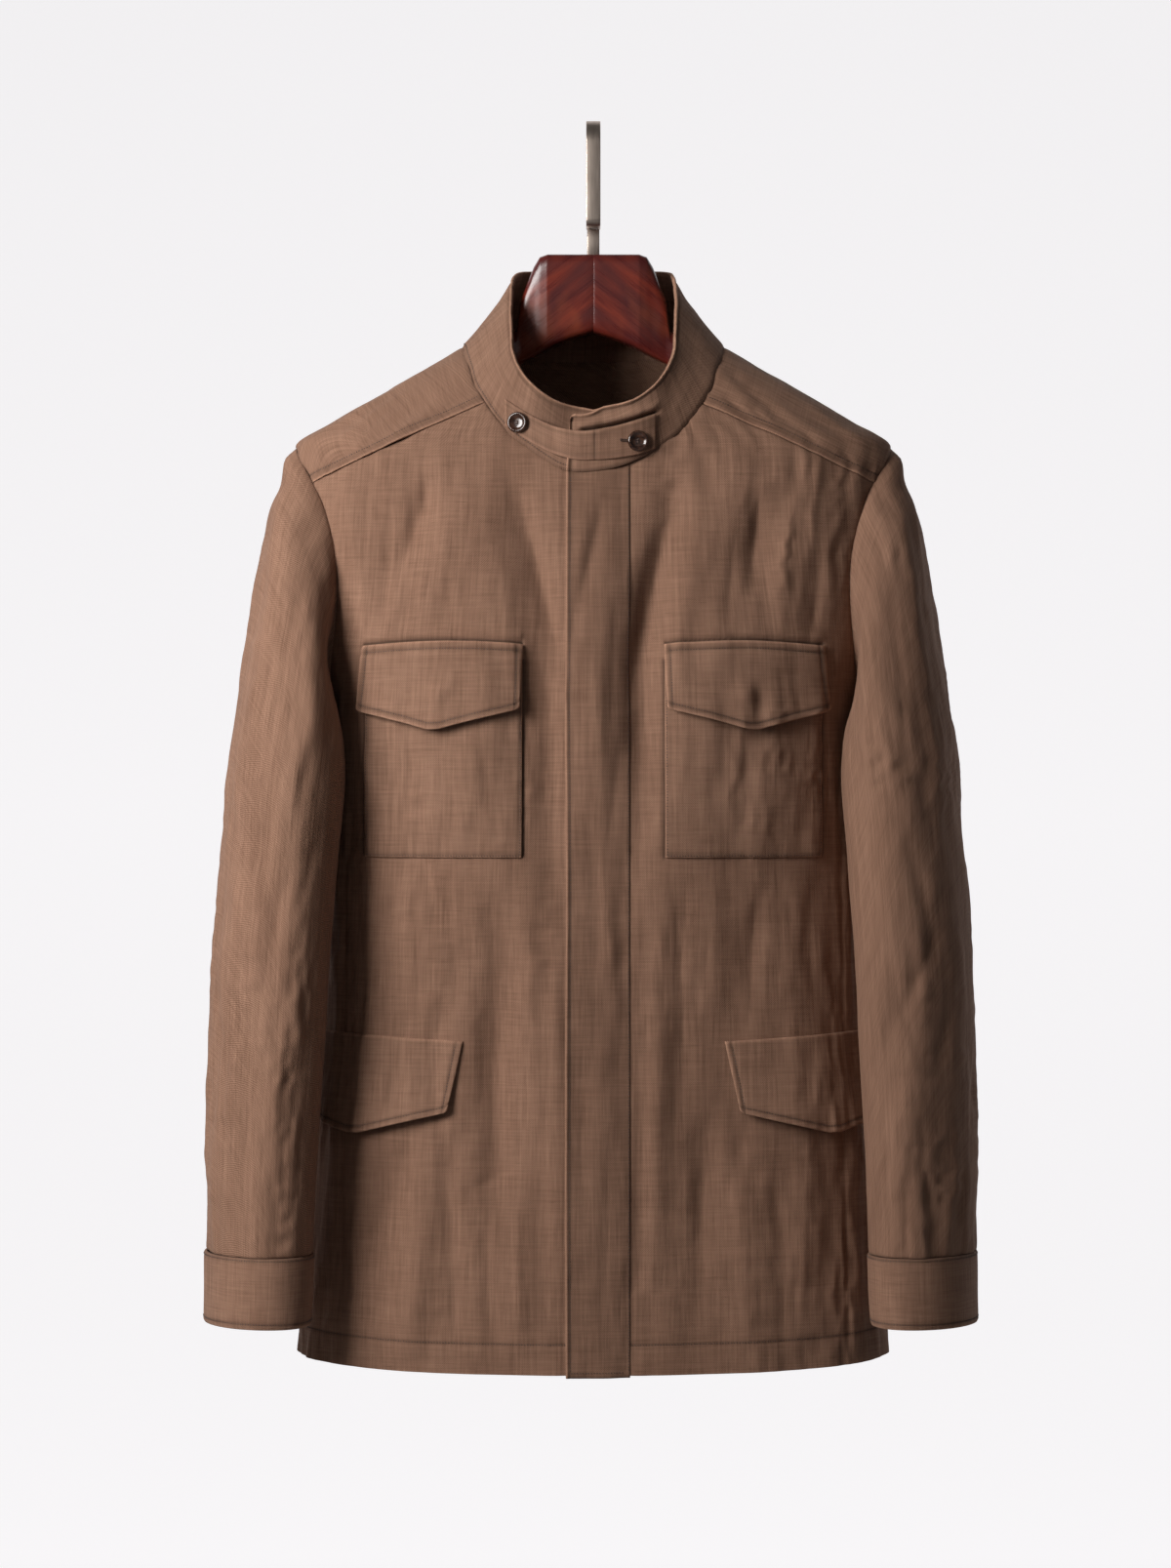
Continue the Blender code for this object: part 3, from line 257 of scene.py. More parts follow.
HANGER_PLACES = (0.0, 0.0004, 0.0012, 0.006, 0.012, 0.018, 0.024, 0.03, 0.0335, 0.0345, 0.0355, 0.037,
                 0.039, 0.0405, 0.0418, 0.0434, 0.045, 0.048, 0.051, 0.0535, 0.055, 0.0562, 0.058,
                 0.061, 0.066, 0.075, 0.086, 0.098, 0.112, 0.126, 0.14, 0.158, 0.175, 0.186,
                 0.193, 0.198, 0.201)

# ---------------------------------------------------------------- the cloth's own creases

# Creases of the body, seen from the front or the back, as the solids' folds are. sharp is the
# exponent of the section: 2 is a soft wave, 1 a crease that is nearly pressed in.
Crease = namedtuple("Crease", "face x_top z_top x_low z_low half_width depth sharp")
BODY_CREASES = rows_of(Crease, (
    (FRONT, -0.061, -0.26, -0.025, -0.41, 0.009, 0.003, 1.6),
    (FRONT, -0.038, -0.3, -0.0255, -0.64, 0.014, 0.0032, 1.7),
    (FRONT, -0.082, -0.28, -0.052, -0.46, 0.011, -0.0014, 1.8),
    (FRONT, -0.12, -0.27, -0.142, -0.34, 0.009, 0.0022, 1.6),
    (FRONT, -0.104, -0.275, -0.118, -0.38, 0.01, -0.0012, 1.8),
    (FRONT, -0.15, -0.29, -0.156, -0.39, 0.006, 0.0012, 1.5),
    (FRONT, -0.073, -0.33, -0.068, -0.395, 0.0045, 0.0008, 1.4),
    (FRONT, -0.108, -0.33, -0.102, -0.395, 0.005, 0.0007, 1.4),
    (FRONT, 0.064, -0.26, 0.029, -0.43, 0.0095, 0.0034, 1.6),
    (FRONT, 0.04, -0.33, 0.033, -0.56, 0.011, 0.0026, 1.6),
    (FRONT, 0.08, -0.275, 0.052, -0.47, 0.012, -0.0014, 1.8),
    (FRONT, 0.124, -0.28, 0.116, -0.36, 0.008, 0.002, 1.5),
    (FRONT, 0.107, -0.29, 0.098, -0.39, 0.007, 0.001, 1.5),
    (FRONT, 0.142, -0.3, 0.137, -0.39, 0.009, -0.0012, 1.8),
    (FRONT, 0.168, -0.325, 0.16, -0.4, 0.006, 0.001, 1.5),
    (FRONT, 0.009, -0.282, -0.015, -0.39, 0.006, 0.0016, 1.4),
    (FRONT, -0.007, -0.3, -0.011, -0.37, 0.008, -0.0012, 1.8),
    (FRONT, 0.016, -0.36, 0.014, -0.46, 0.0055, 0.0009, 1.4),
    (FRONT, 0.002, -0.41, 0.005, -0.5, 0.005, -0.001, 1.5),
    (FRONT, 0.019, -0.47, 0.011, -0.55, 0.0045, 0.0009, 1.4),
    (FRONT, -0.004, -0.51, 0.004, -0.62, 0.006, 0.0009, 1.5),
    (FRONT, 0.013, -0.58, 0.017, -0.7, 0.006, -0.0009, 1.5),
    (FRONT, -0.01, -0.68, -0.006, -0.83, 0.006, 0.0009, 1.5),
    (FRONT, 0.012, -0.75, 0.008, -0.89, 0.006, 0.0008, 1.5),
    (FRONT, -0.07, -0.59, -0.072, -0.83, 0.011, 0.0026, 1.7),
    (FRONT, -0.048, -0.57, -0.044, -0.72, 0.008, -0.0012, 1.7),
    (FRONT, -0.106, -0.58, -0.101, -0.67, 0.007, 0.0011, 1.5),
    (FRONT, -0.137, -0.57, -0.131, -0.67, 0.008, -0.001, 1.6),
    (FRONT, -0.04, -0.73, -0.035, -0.905, 0.008, 0.0012, 1.6),
    (FRONT, -0.108, -0.75, -0.101, -0.915, 0.011, 0.0024, 1.6),
    (FRONT, -0.13, -0.745, -0.172, -0.86, 0.01, 0.002, 1.5),
    (FRONT, -0.129, -0.81, -0.133, -0.925, 0.009, -0.0014, 1.7),
    (FRONT, -0.08, -0.82, -0.074, -0.92, 0.006, 0.0012, 1.5),
    (FRONT, -0.056, -0.8, -0.054, -0.92, 0.007, -0.0011, 1.6),
    (FRONT, -0.118, -0.66, -0.114, -0.77, 0.006, 0.001, 1.5),
    (FRONT, -0.156, -0.77, -0.16, -0.91, 0.007, 0.001, 1.6),
    (FRONT, 0.048, -0.56, 0.045, -0.88, 0.009, -0.0015, 1.7),
    (FRONT, 0.066, -0.57, 0.064, -0.76, 0.009, 0.0015, 1.6),
    (FRONT, 0.091, -0.57, 0.088, -0.68, 0.007, -0.001, 1.6),
    (FRONT, 0.121, -0.57, 0.114, -0.68, 0.008, 0.0012, 1.6),
    (FRONT, 0.081, -0.74, 0.076, -0.9, 0.009, 0.0014, 1.6),
    (FRONT, 0.106, -0.77, 0.112, -0.92, 0.009, -0.0011, 1.7),
    (FRONT, 0.138, -0.77, 0.14, -0.92, 0.008, 0.001, 1.6),
    (FRONT, 0.036, -0.68, 0.033, -0.9, 0.006, 0.0011, 1.5),
    (FRONT, -0.03, -0.59, -0.026, -0.74, 0.006, -0.001, 1.6),
    (FRONT, -0.088, -0.685, -0.064, -0.693, 0.005, 0.0007, 1.4),
    (FRONT, -0.056, -0.782, -0.03, -0.77, 0.0045, 0.0006, 1.4),
    (FRONT, 0.062, -0.819, 0.095, -0.829, 0.005, 0.0006, 1.4),
    (BACK, -0.064, -0.34, -0.082, -0.6, 0.011, 0.0022, 1.7),
    (BACK, 0.054, -0.36, 0.064, -0.66, 0.011, 0.0024, 1.7),
    (BACK, 0.006, -0.33, -0.004, -0.52, 0.01, -0.0016, 1.8),
    (BACK, 0.118, -0.36, 0.108, -0.52, 0.009, 0.0014, 1.6),
    (BACK, -0.124, -0.35, -0.116, -0.5, 0.009, 0.0014, 1.6),
    (BACK, -0.03, -0.56, -0.026, -0.86, 0.012, 0.002, 1.7),
    (BACK, 0.024, -0.6, 0.03, -0.89, 0.01, -0.0016, 1.8),
    (BACK, 0.102, -0.62, 0.1, -0.88, 0.011, 0.0018, 1.7),
    (BACK, -0.11, -0.6, -0.112, -0.88, 0.011, -0.0016, 1.8),
    (BACK, 0.154, -0.56, 0.156, -0.74, 0.008, 0.0012, 1.6),
    (BACK, -0.156, -0.52, -0.162, -0.72, 0.008, 0.0012, 1.6),
))

# Dents of the collar, seen from the front.
COLLAR_CREASES = rows_of(Crease, (
    (FRONT, -0.086, -0.162, -0.079, -0.19, 0.0035, 0.001, 1.5),
    (FRONT, -0.072, -0.16, -0.066, -0.215, 0.008, -0.0008, 2.0),
    (FRONT, 0.07, -0.15, 0.08, -0.205, 0.007, 0.0009, 1.8),
    (FRONT, 0.062, -0.18, 0.056, -0.225, 0.008, 0.0009, 1.8),
    (FRONT, -0.047, -0.205, -0.06, -0.224, 0.006, 0.0007, 1.8),
))

# Creases of the sleeves: places round them in degrees, 0 outside and 90 in front, and heights.
SleeveCrease = namedtuple("SleeveCrease", "turn_top z_top turn_low z_low half_width depth sharp")
SLEEVE_CREASES = {
    "right": rows_of(SleeveCrease, (
        (35, -0.275, 40, -0.55, 0.012, -0.0018, 1.6),
        (62, -0.3, 66, -0.48, 0.015, 0.0026, 1.8),
        (96, -0.29, 92, -0.5, 0.013, -0.002, 1.8),
        (122, -0.34, 112, -0.56, 0.009, 0.0016, 1.6),
        (74, -0.46, 58, -0.58, 0.009, 0.0022, 1.5),
        (48, -0.53, 84, -0.615, 0.0075, 0.0024, 1.4),
        (26, -0.56, 66, -0.65, 0.008, -0.0016, 1.6),
        (92, -0.55, 60, -0.68, 0.008, 0.002, 1.5),
        (118, -0.53, 96, -0.6, 0.007, 0.0018, 1.4),
        (36, -0.65, 72, -0.72, 0.0075, 0.002, 1.4),
        (104, -0.64, 84, -0.76, 0.009, -0.0016, 1.7),
        (58, -0.7, 50, -0.83, 0.011, 0.002, 1.7),
        (84, -0.75, 92, -0.84, 0.008, 0.0014, 1.5),
        (120, -0.69, 116, -0.83, 0.008, 0.0014, 1.6),
        (22, -0.72, 20, -0.84, 0.008, -0.0012, 1.7),
        (-30, -0.3, -38, -0.56, 0.013, 0.0018, 1.8),
        (-60, -0.5, -95, -0.61, 0.009, 0.0024, 1.5),
        (-110, -0.53, -70, -0.65, 0.009, 0.0022, 1.5),
        (-50, -0.64, -60, -0.82, 0.011, -0.0018, 1.8),
    )),
    "left": rows_of(SleeveCrease, (
        (34, -0.275, 38, -0.63, 0.012, -0.0018, 1.6),
        (60, -0.29, 60, -0.52, 0.014, 0.0024, 1.8),
        (94, -0.3, 98, -0.5, 0.012, -0.0018, 1.8),
        (120, -0.36, 110, -0.58, 0.009, 0.0018, 1.6),
        (80, -0.52, 52, -0.62, 0.0085, 0.0022, 1.5),
        (50, -0.6, 88, -0.67, 0.007, 0.0024, 1.4),
        (108, -0.61, 76, -0.7, 0.0075, 0.0018, 1.4),
        (28, -0.64, 60, -0.72, 0.008, 0.0018, 1.5),
        (86, -0.67, 96, -0.8, 0.009, -0.0016, 1.7),
        (62, -0.72, 58, -0.84, 0.01, 0.0018, 1.7),
        (112, -0.71, 114, -0.83, 0.008, 0.0014, 1.6),
        (22, -0.74, 22, -0.84, 0.008, -0.0012, 1.7),
        (-36, -0.3, -30, -0.54, 0.013, 0.002, 1.8),
        (-100, -0.54, -62, -0.63, 0.0085, 0.0024, 1.5),
        (-58, -0.6, -88, -0.7, 0.0085, 0.0022, 1.5),
        (-70, -0.69, -64, -0.83, 0.011, -0.0016, 1.8),
    )),
}

# Seams inside a panel: a narrow groove on the body, seen from the front.
SeamLine = namedtuple("SeamLine", "x_top z_top x_low z_low")
FRONT_SEAMS = rows_of(SeamLine, (
    (-0.183, -0.556, -0.188, -0.92),
    (0.183, -0.556, 0.188, -0.92),
))
# How far in from its edge each row of stitching runs.
HEM_STITCH = 0.0225
SEAM_STITCH = 0.0065      # the yoke's, beside its seams
COLLAR_STITCH = 0.003
PLACKET_STITCH = 0.0032
POCKET_STITCH = 0.0014
FLAP_STITCH = 0.0048
FLAP_TOP_STITCH = 0.0058
CUFF_SEAM_STITCH = 0.002
CUFF_EDGE_STITCH = 0.004
STITCH_PITCH = 0.0021
STITCH_LENGTH = 0.0014
STITCH_RADIUS = 0.0005

STEP = 0.0027             # between the points of a panel's grid
CREASE_STRENGTH = 1.9     # the body's creases, times the depths above
BODY_RADIUS = 0.16        # turns an angle round the body into a length of its crumple
COLLAR_HALF_LENGTH = 0.28
PUCKERS = 900.0           # radians of a stitched line's puckers in a metre
COLLAR_ROUND = 0.005      # the corner of the upper end
TAB_SEAM_X = 0.001
FLAP_STAND = 0.007        # how far a flap's point stands off
BAND_ROUND = 0.0006       # the edges of the hook's band and of the stem
BUTTON_PROFILE = (        # radius and level, from the hollow face over the rim to the back
    (0.002, 0.0012), (0.0038, 0.0013), (0.0047, 0.0016), (0.0053, 0.0023), (0.0059, 0.0027), (0.0066, 0.0028),
    (0.0072, 0.0025), (0.0077, 0.0019), (0.0078, 0.0013), (0.0075, 0.0006), (0.0066, 0.0001),
)

CAMERA_PLACE = (-0.0059, -3.0, -0.49987)
HALF_VIEW = 11.21         # degrees up and down
FLOOR_Z = -1.75
STAGE_HALF_WIDTH = 12.0
WALL_START_Y = 2.3        # where the floor begins to curve up
WALL_RADIUS = 1.2
WALL_TOP_Z = 6.0
STAGE_GLOW = 0.8          # the light of the stage's far part
STAGE_GLOW_Y = (1.2, 2.8)


# ---------------------------------------------------------------- curves and noise

def smooth_through(knots, values):
    """A smooth curve through the pairs that never overshoots them, for arrays."""
    order = np.argsort(knots)
    knots, values = np.array(knots, float)[order], np.array(values, float)[order]
    steps = np.diff(knots)
    rises = np.diff(values) / steps
    slopes = np.zeros_like(values)
    slopes[0], slopes[-1] = rises[0], rises[-1]
    before, after = rises[:-1], rises[1:]
    same = before * after > 0.0
    slopes[1:-1][same] = 2.0 * before[same] * after[same] / (before[same] + after[same])

    def curve(knot):
        knot = np.asarray(knot, float)
        index = np.clip(np.searchsorted(knots, knot, side="right") - 1, 0, len(steps) - 1)
        t = np.clip((knot - knots[index]) / steps[index], 0.0, 1.0)
        bend = (t ** 3 - 2 * t ** 2 + t) * slopes[index] + (t ** 3 - t ** 2) * slopes[index + 1]
        value = (2 * t ** 3 - 3 * t ** 2 + 1) * values[index] + (3 * t ** 2 - 2 * t ** 3) * values[index + 1]
        past = np.minimum(knot - knots[0], 0.0) * slopes[0] + np.maximum(knot - knots[-1], 0.0) * slopes[-1]
        return value + bend * steps[index] + past

    return curve


def column(table, name):
    return [getattr(row, name) for row in table]


def curves_of(table, places):
    """A smooth curve for each column of a table, by name."""
    return {name: smooth_through(places, column(table, name)) for name in table[0]._fields}


def read_columns(places, knots, table):
    """Each column of a table of points, read at places between its knots."""
    return np.stack([np.interp(places, knots, values) for values in table.T], axis=-1)


def distances(points):
    """Distances along a line of points from its first one."""
    steps = np.linalg.norm(np.diff(np.asarray(points, float), axis=0), axis=1)
    return np.concatenate(((0.0,), np.cumsum(steps)))


def lengths_along(points):
    total = distances(points)
    return total / total[-1]


def ramp(value, start, end):
    t = np.clip((value - start) / (end - start), 0.0, 1.0)
    return t * t * (3.0 - 2.0 * t)


def bump(distance, half_width, sharp=2.0):
    return np.exp(-np.abs(distance / half_width) ** sharp)


def rounded(value, exponent):
    """A sine or cosine squared up by an exponent under 1."""
    return np.sign(value) * np.abs(value) ** exponent


def turned(angle):
    return np.cos(np.radians(angle)), np.sin(np.radians(angle))


def unit(vectors):
    return vectors / np.linalg.norm(vectors, axis=-1, keepdims=True)


def lattice(i, j, seed):
    value = np.sin(i * 127.1 + j * 311.7 + seed * 74.7) * 43758.5453
    return value - np.floor(value)


def noise(u, v, seed):
    """Smooth noise from -1 to 1 on a lattice of unit cells."""
    i, j = np.floor(u), np.floor(v)
    a, b = u - i, v - j
    a, b = a * a * (3.0 - 2.0 * a), b * b * (3.0 - 2.0 * b)
    low = lattice(i, j, seed) * (1.0 - a) + lattice(i + 1, j, seed) * a
    high = lattice(i, j + 1, seed) * (1.0 - a) + lattice(i + 1, j + 1, seed) * a
    return 2.0 * (low * (1.0 - b) + high * b) - 1.0


def crumple(u, v, seed):
    """The small unevenness of linen that has been folded: longer along the warp."""
    wide = noise(u / 0.03 + 0.35 * noise(u / 0.05, v / 0.07, seed + 5), v / 0.1, seed)
    middle = noise(u / 0.012 + 0.6 * noise(u / 0.03, v / 0.03, seed + 6), v / 0.045, seed + 1)
    patchy = 0.7 + 0.6 * noise(u / 0.05, v / 0.08, seed + 7)
    fine = noise(u / 0.0055 + 0.5 * noise(u / 0.02, v / 0.02, seed + 8), v / 0.022, seed + 2) * patchy
    cross = noise(u / 0.028, v / 0.0075, seed + 3)
    ridged = 1.0 - 2.0 * np.abs(noise(u / 0.014 + 0.4 * cross, v / 0.055, seed + 4))
    return 0.0008 * wide + 0.00085 * middle + 0.00065 * fine + 0.00022 * cross + 0.00066 * ridged * patchy


# ---------------------------------------------------------------- the body's surface

section = curves_of(SECTIONS, column(SECTIONS, "z"))
half_width, front_depth, back_depth = section["half_width"], section["front"], section["back"]
neck_z = smooth_through(column(NECKLINE, "angle"), column(NECKLINE, "z"))


def neck_height(angle):
    """The neck seam's height, round the back too; at the front it is lowest on the right."""
    angle = np.asarray(angle, float)
    return neck_z(np.hypot(angle, 3.0)) - 0.003 * bump(angle + 4.5, 4.0) + 0.0008 * bump(angle - 4.0, 4.0)


def line_effect(row, x, z):
    """Depth of one crease: it fades at both ends and away from its line."""
    length = math.hypot(row.x_low - row.x_top, row.z_low - row.z_top)
    across_x, across_z = (row.z_top - row.z_low) / length, (row.x_low - row.x_top) / length
    distance = (x - row.x_top) * across_x + (z - row.z_top) * across_z
    along = np.clip(((x - row.x_top) * -across_z + (row.z_top - z) * across_x) / length, 0.0, 1.0)
    return row.depth * np.sin(math.pi * along) ** 0.8 * bump(distance, row.half_width, row.sharp)


def fold_depth(front, x, z):
    total = np.zeros_like(x)
    for fold in FOLDS:
        along = np.clip((fold.z_top - z) / (fold.z_top - fold.z_low), 0.0, 1.0)
        across = x - fold.x_top - (fold.x_low - fold.x_top) * along
        depth = fold.depth * np.sin(math.pi * along) * bump(across, fold.half_width)
        total += np.where(front == (fold.face == FRONT), depth, 0.0)
    return total


def bowed(point):
    out = point.copy()
    out[..., 1] -= BOW * point[..., 0] ** 2
    return out


def unbowed_body(angle, z):
    cosine, sine = turned(angle)
    front = cosine > 0.0
    depth = np.where(front, front_depth(z), back_depth(z))
    x = half_width(z) * rounded(sine, 2.0 / ROUNDNESS)
    y = depth * np.abs(cosine) ** (2.0 / ROUNDNESS) - fold_depth(front, x, z) * np.abs(cosine)
    return np.stack((x, np.where(front, -y, y), z), axis=-1)


def body_face(angle, z):
    return bowed(unbowed_body(*np.broadcast_arrays(np.asarray(angle, float), np.asarray(z, float))))


def surface_normal(surface, across, up, across_step, up_step):
    side = surface(across + across_step, up) - surface(across - across_step, up)
    rise = surface(across, up + up_step) - surface(across, up - up_step)
    return unit(np.cross(side, rise))


def body_normal(angle, z):
    return surface_normal(body_face, angle, z, 0.4, 0.001)


def body_crease(angle, z):
    """How far the creases move the body's cloth out."""
    x = body_face(angle, z)[..., 0]
    facing = turned(angle)[0]
    total = np.zeros_like(x)
    for row in BODY_CREASES:
        on_its_face = (facing > 0.0) == (row.face == FRONT)
        total -= CREASE_STRENGTH * np.where(on_its_face, line_effect(row, x, z), 0.0)
    return total * ramp(np.abs(facing), 0.0, 0.25) + crumple(np.radians(angle) * BODY_RADIUS, z, 3)


def angle_at(x, z, front=True):
    share = np.minimum(np.abs(x) / half_width(z), 1.0)
    angle = np.degrees(np.arcsin(share ** (ROUNDNESS / 2.0)))
    return np.where(x < 0, -1.0, 1.0) * np.where(front, angle, 180.0 - angle)


# A way round the neck is a share of the seam's length from the front to the back's middle: 0 to 1
# on the wearer's left and 0 to -1 on the right.
NECK_ANGLES = np.linspace(0.0, 180.0, 181)
NECK_SHARES = lengths_along(body_face(NECK_ANGLES, neck_z(NECK_ANGLES)))
RIM_CURVES = curves_of(COLLAR_RIM, lengths_along([tuple(point) for point in COLLAR_RIM]))


def neck_angle(way):
    return np.sign(way) * np.interp(np.abs(way), NECK_SHARES, NECK_ANGLES)


def neck_way_at(x):
    angles = NECK_ANGLES[:61]
    xs = body_face(angles, neck_z(angles))[:, 0]
    return np.sign(x) * np.interp(np.interp(np.abs(x), xs, angles), NECK_ANGLES, NECK_SHARES)


def neck_base(way):
    angle = neck_angle(wrapped(way))
    return body_face(angle, neck_height(angle))


def wrapped(way):
    return (np.asarray(way, float) + 1.0) % 2.0 - 1.0


def collar_face(way, height):
    share = np.abs(wrapped(way))
    base = neck_base(way)
    rim = np.stack([RIM_CURVES[axis](share) for axis in "xyz"], axis=-1)
    rim[..., 0] *= np.where(wrapped(way) < 0, -1.0, 1.0)
    return base + (bowed(rim) - base) * np.asarray(height)[..., None]


def collar_normal(way, height):
    return surface_normal(collar_face, way, height, 0.01, 0.02)


def collar_lift(x):
    return COLLAR_LIFT * (1.0 - ramp(x, COLLAR_LIFT_FULL_X, COLLAR_LIFT_END_X))


# ---------------------------------------------------------------- the sleeves' surface

def side_reach(y, z):
    depth = np.where(y < 0.0, front_depth(z), back_depth(z))
    share = np.minimum(np.abs(y) / depth, 1.0)
    return half_width(z) * (1.0 - share ** ROUNDNESS) ** (1.0 / ROUNDNESS)


def armhole(turn):
    """The body's angle and height at a turn round the armhole: 0 on top, 90 in front."""
    cosine, sine = turned(turn)
    z = SHOULDER_Z + (ARMPIT_Z - SHOULDER_Z) * (0.5 - 0.5 * cosine)
    y = -ARMHOLE_HALF_DEPTH * sine
    return angle_at(side_reach(y, z), z, y <= 0.0), z


LAST_RING = len(SLEEVE_RINGS) - 1
RING_CURVES = curves_of(SLEEVE_RINGS, range(len(SLEEVE_RINGS)))
CUFF_CURVES = curves_of(CUFF_RINGS, range(len(CUFF_RINGS)))


def ring_at(curves, place):
    return {name: curve(place) for name, curve in curves.items()}


def ellipse(ring, turn, twist=0.0):
    cosine, sine = turned(turn)
    half = np.sqrt((0.5 * (ring["outer_x"] - ring["inner_x"])) ** 2 - twist ** 2)
    x = 0.5 * (ring["outer_x"] + ring["inner_x"]) + half * cosine - twist * sine
    z = 0.5 * (ring["outer_z"] + ring["inner_z"]) + 0.5 * (ring["outer_z"] - ring["inner_z"]) * cosine
    return np.stack((x, ring["centre_y"] - ring["half_depth"] * sine, z), axis=-1)


def sleeve_face(side, place, turn):
    place, turn = np.broadcast_arrays(np.asarray(place, float), np.asarray(turn, float))
    blend = 1.0 - ramp(place, 0, SLEEVE_BLEND_RINGS)
    shift = unbowed_body(*armhole(turn)) - ellipse(SLEEVE_RINGS[0]._asdict(), turn)
    point = ellipse(ring_at(RING_CURVES, place), turn, SLEEVE_TWIST * (1.0 - blend))
    point = point + shift * blend[..., None]
    point[..., 0] -= side * SLEEVE_SWING * (place / LAST_RING) ** 3
    room = 2.0 * CLOTH + SLEEVE_CLEARANCE + FLAP_ROOM * ramp(point[..., 2], -0.55, -0.65)
    spare = point[..., 0] - side_reach(point[..., 1], point[..., 2]) - room * ramp(place, -1.0, 2.0)
    point[..., 0] += 0.5 * (np.hypot(spare, 0.003) - spare) * ramp(place, 0.0, 1.0)
    return bowed(point * (side, 1.0, 1.0))


# ---------------------------------------------------------------- grids of cloth

def spacing(length, step, marks=(), end_marks=()):
    """Shares of a length, a step apart, with closer ones at both ends and beside each mark."""
    edge = (0.0, 0.0005, 0.0012, 0.0022)
    special = [*edge, *(length - place for place in edge)]
    special += [mark + shift for mark in (*marks, *(length - mark for mark in end_marks))
                for shift in (-0.0014, -0.0007, 0.0, 0.0007, 0.0014)]
    special = [place for place in special if 0.0 <= place <= length]
    places = np.linspace(0.0, length, max(int(round(length / step)), 2) + 1)
    places = [place for place in places if min(abs(place - other) for other in special) > 0.4 * step]
    places = np.unique(np.round(np.array(places + special), 6))
    kept = [places[0]]
    for place in places[1:]:
        if place - kept[-1] > 0.0003:
            kept.append(place)
    kept[-1] = places[-1]
    return np.array(kept) / length


def with_corner(first, second, step, marks=()):
    """Shares of an edge made of two runs, with the corner between them kept as a place."""
    low, high = spacing(first, step, marks) * first, first + spacing(second, step) * second
    return np.concatenate((low, high[1:])) / (first + second)


def finer(shares, low, high, step):
    """Closer places in the part of an edge from low to high."""
    kept = shares[(shares < low - 0.5 * step) | (shares > high + 0.5 * step)]
    return np.sort(np.concatenate((kept, np.arange(low, high, step))))


def run(angles, heights):
    """A line on the body, as (angle, z) pairs."""
    return np.stack(np.broadcast_arrays(np.asarray(angles, float), np.asarray(heights, float)), axis=-1)


def joined(first, second):
    return np.concatenate((first, second[1:]))


def real_length(line):
    return float(distances(body_face(*line.T))[-1])


def sampled(line, shares):
    """The (angle, z) pairs at shares of a line's real length on the body."""
    return read_columns(shares, lengths_along(body_face(*line.T)), line)


def panel(bottom, top, left, right, across, up):
    """A grid of (angle, z) pairs between four lines, which share their corners."""
    bottom, top, left, right = (sampled(line, shares) for line, shares in
                                ((bottom, across), (top, across), (left, up), (right, up)))
    across, up = across[None, :, None], up[:, None, None]
    ruled = bottom[None] * (1.0 - up) + top[None] * up
    ruled = ruled + left[:, None] * (1.0 - across) + right[:, None] * across
    below = bottom[0] * (1.0 - across) + bottom[-1] * across
    above = top[0] * (1.0 - across) + top[-1] * across
    return ruled - below * (1.0 - up) - above * up


def grid_lengths(points):
    """Distances along a grid from its left edge and from its bottom."""
    across = np.linalg.norm(np.diff(points, axis=1), axis=2)
    up = np.linalg.norm(np.diff(points, axis=0), axis=2)
    return (np.pad(np.cumsum(across, axis=1), ((0, 0), (1, 0))),
            np.pad(np.cumsum(up, axis=0), ((1, 0), (0, 0))))


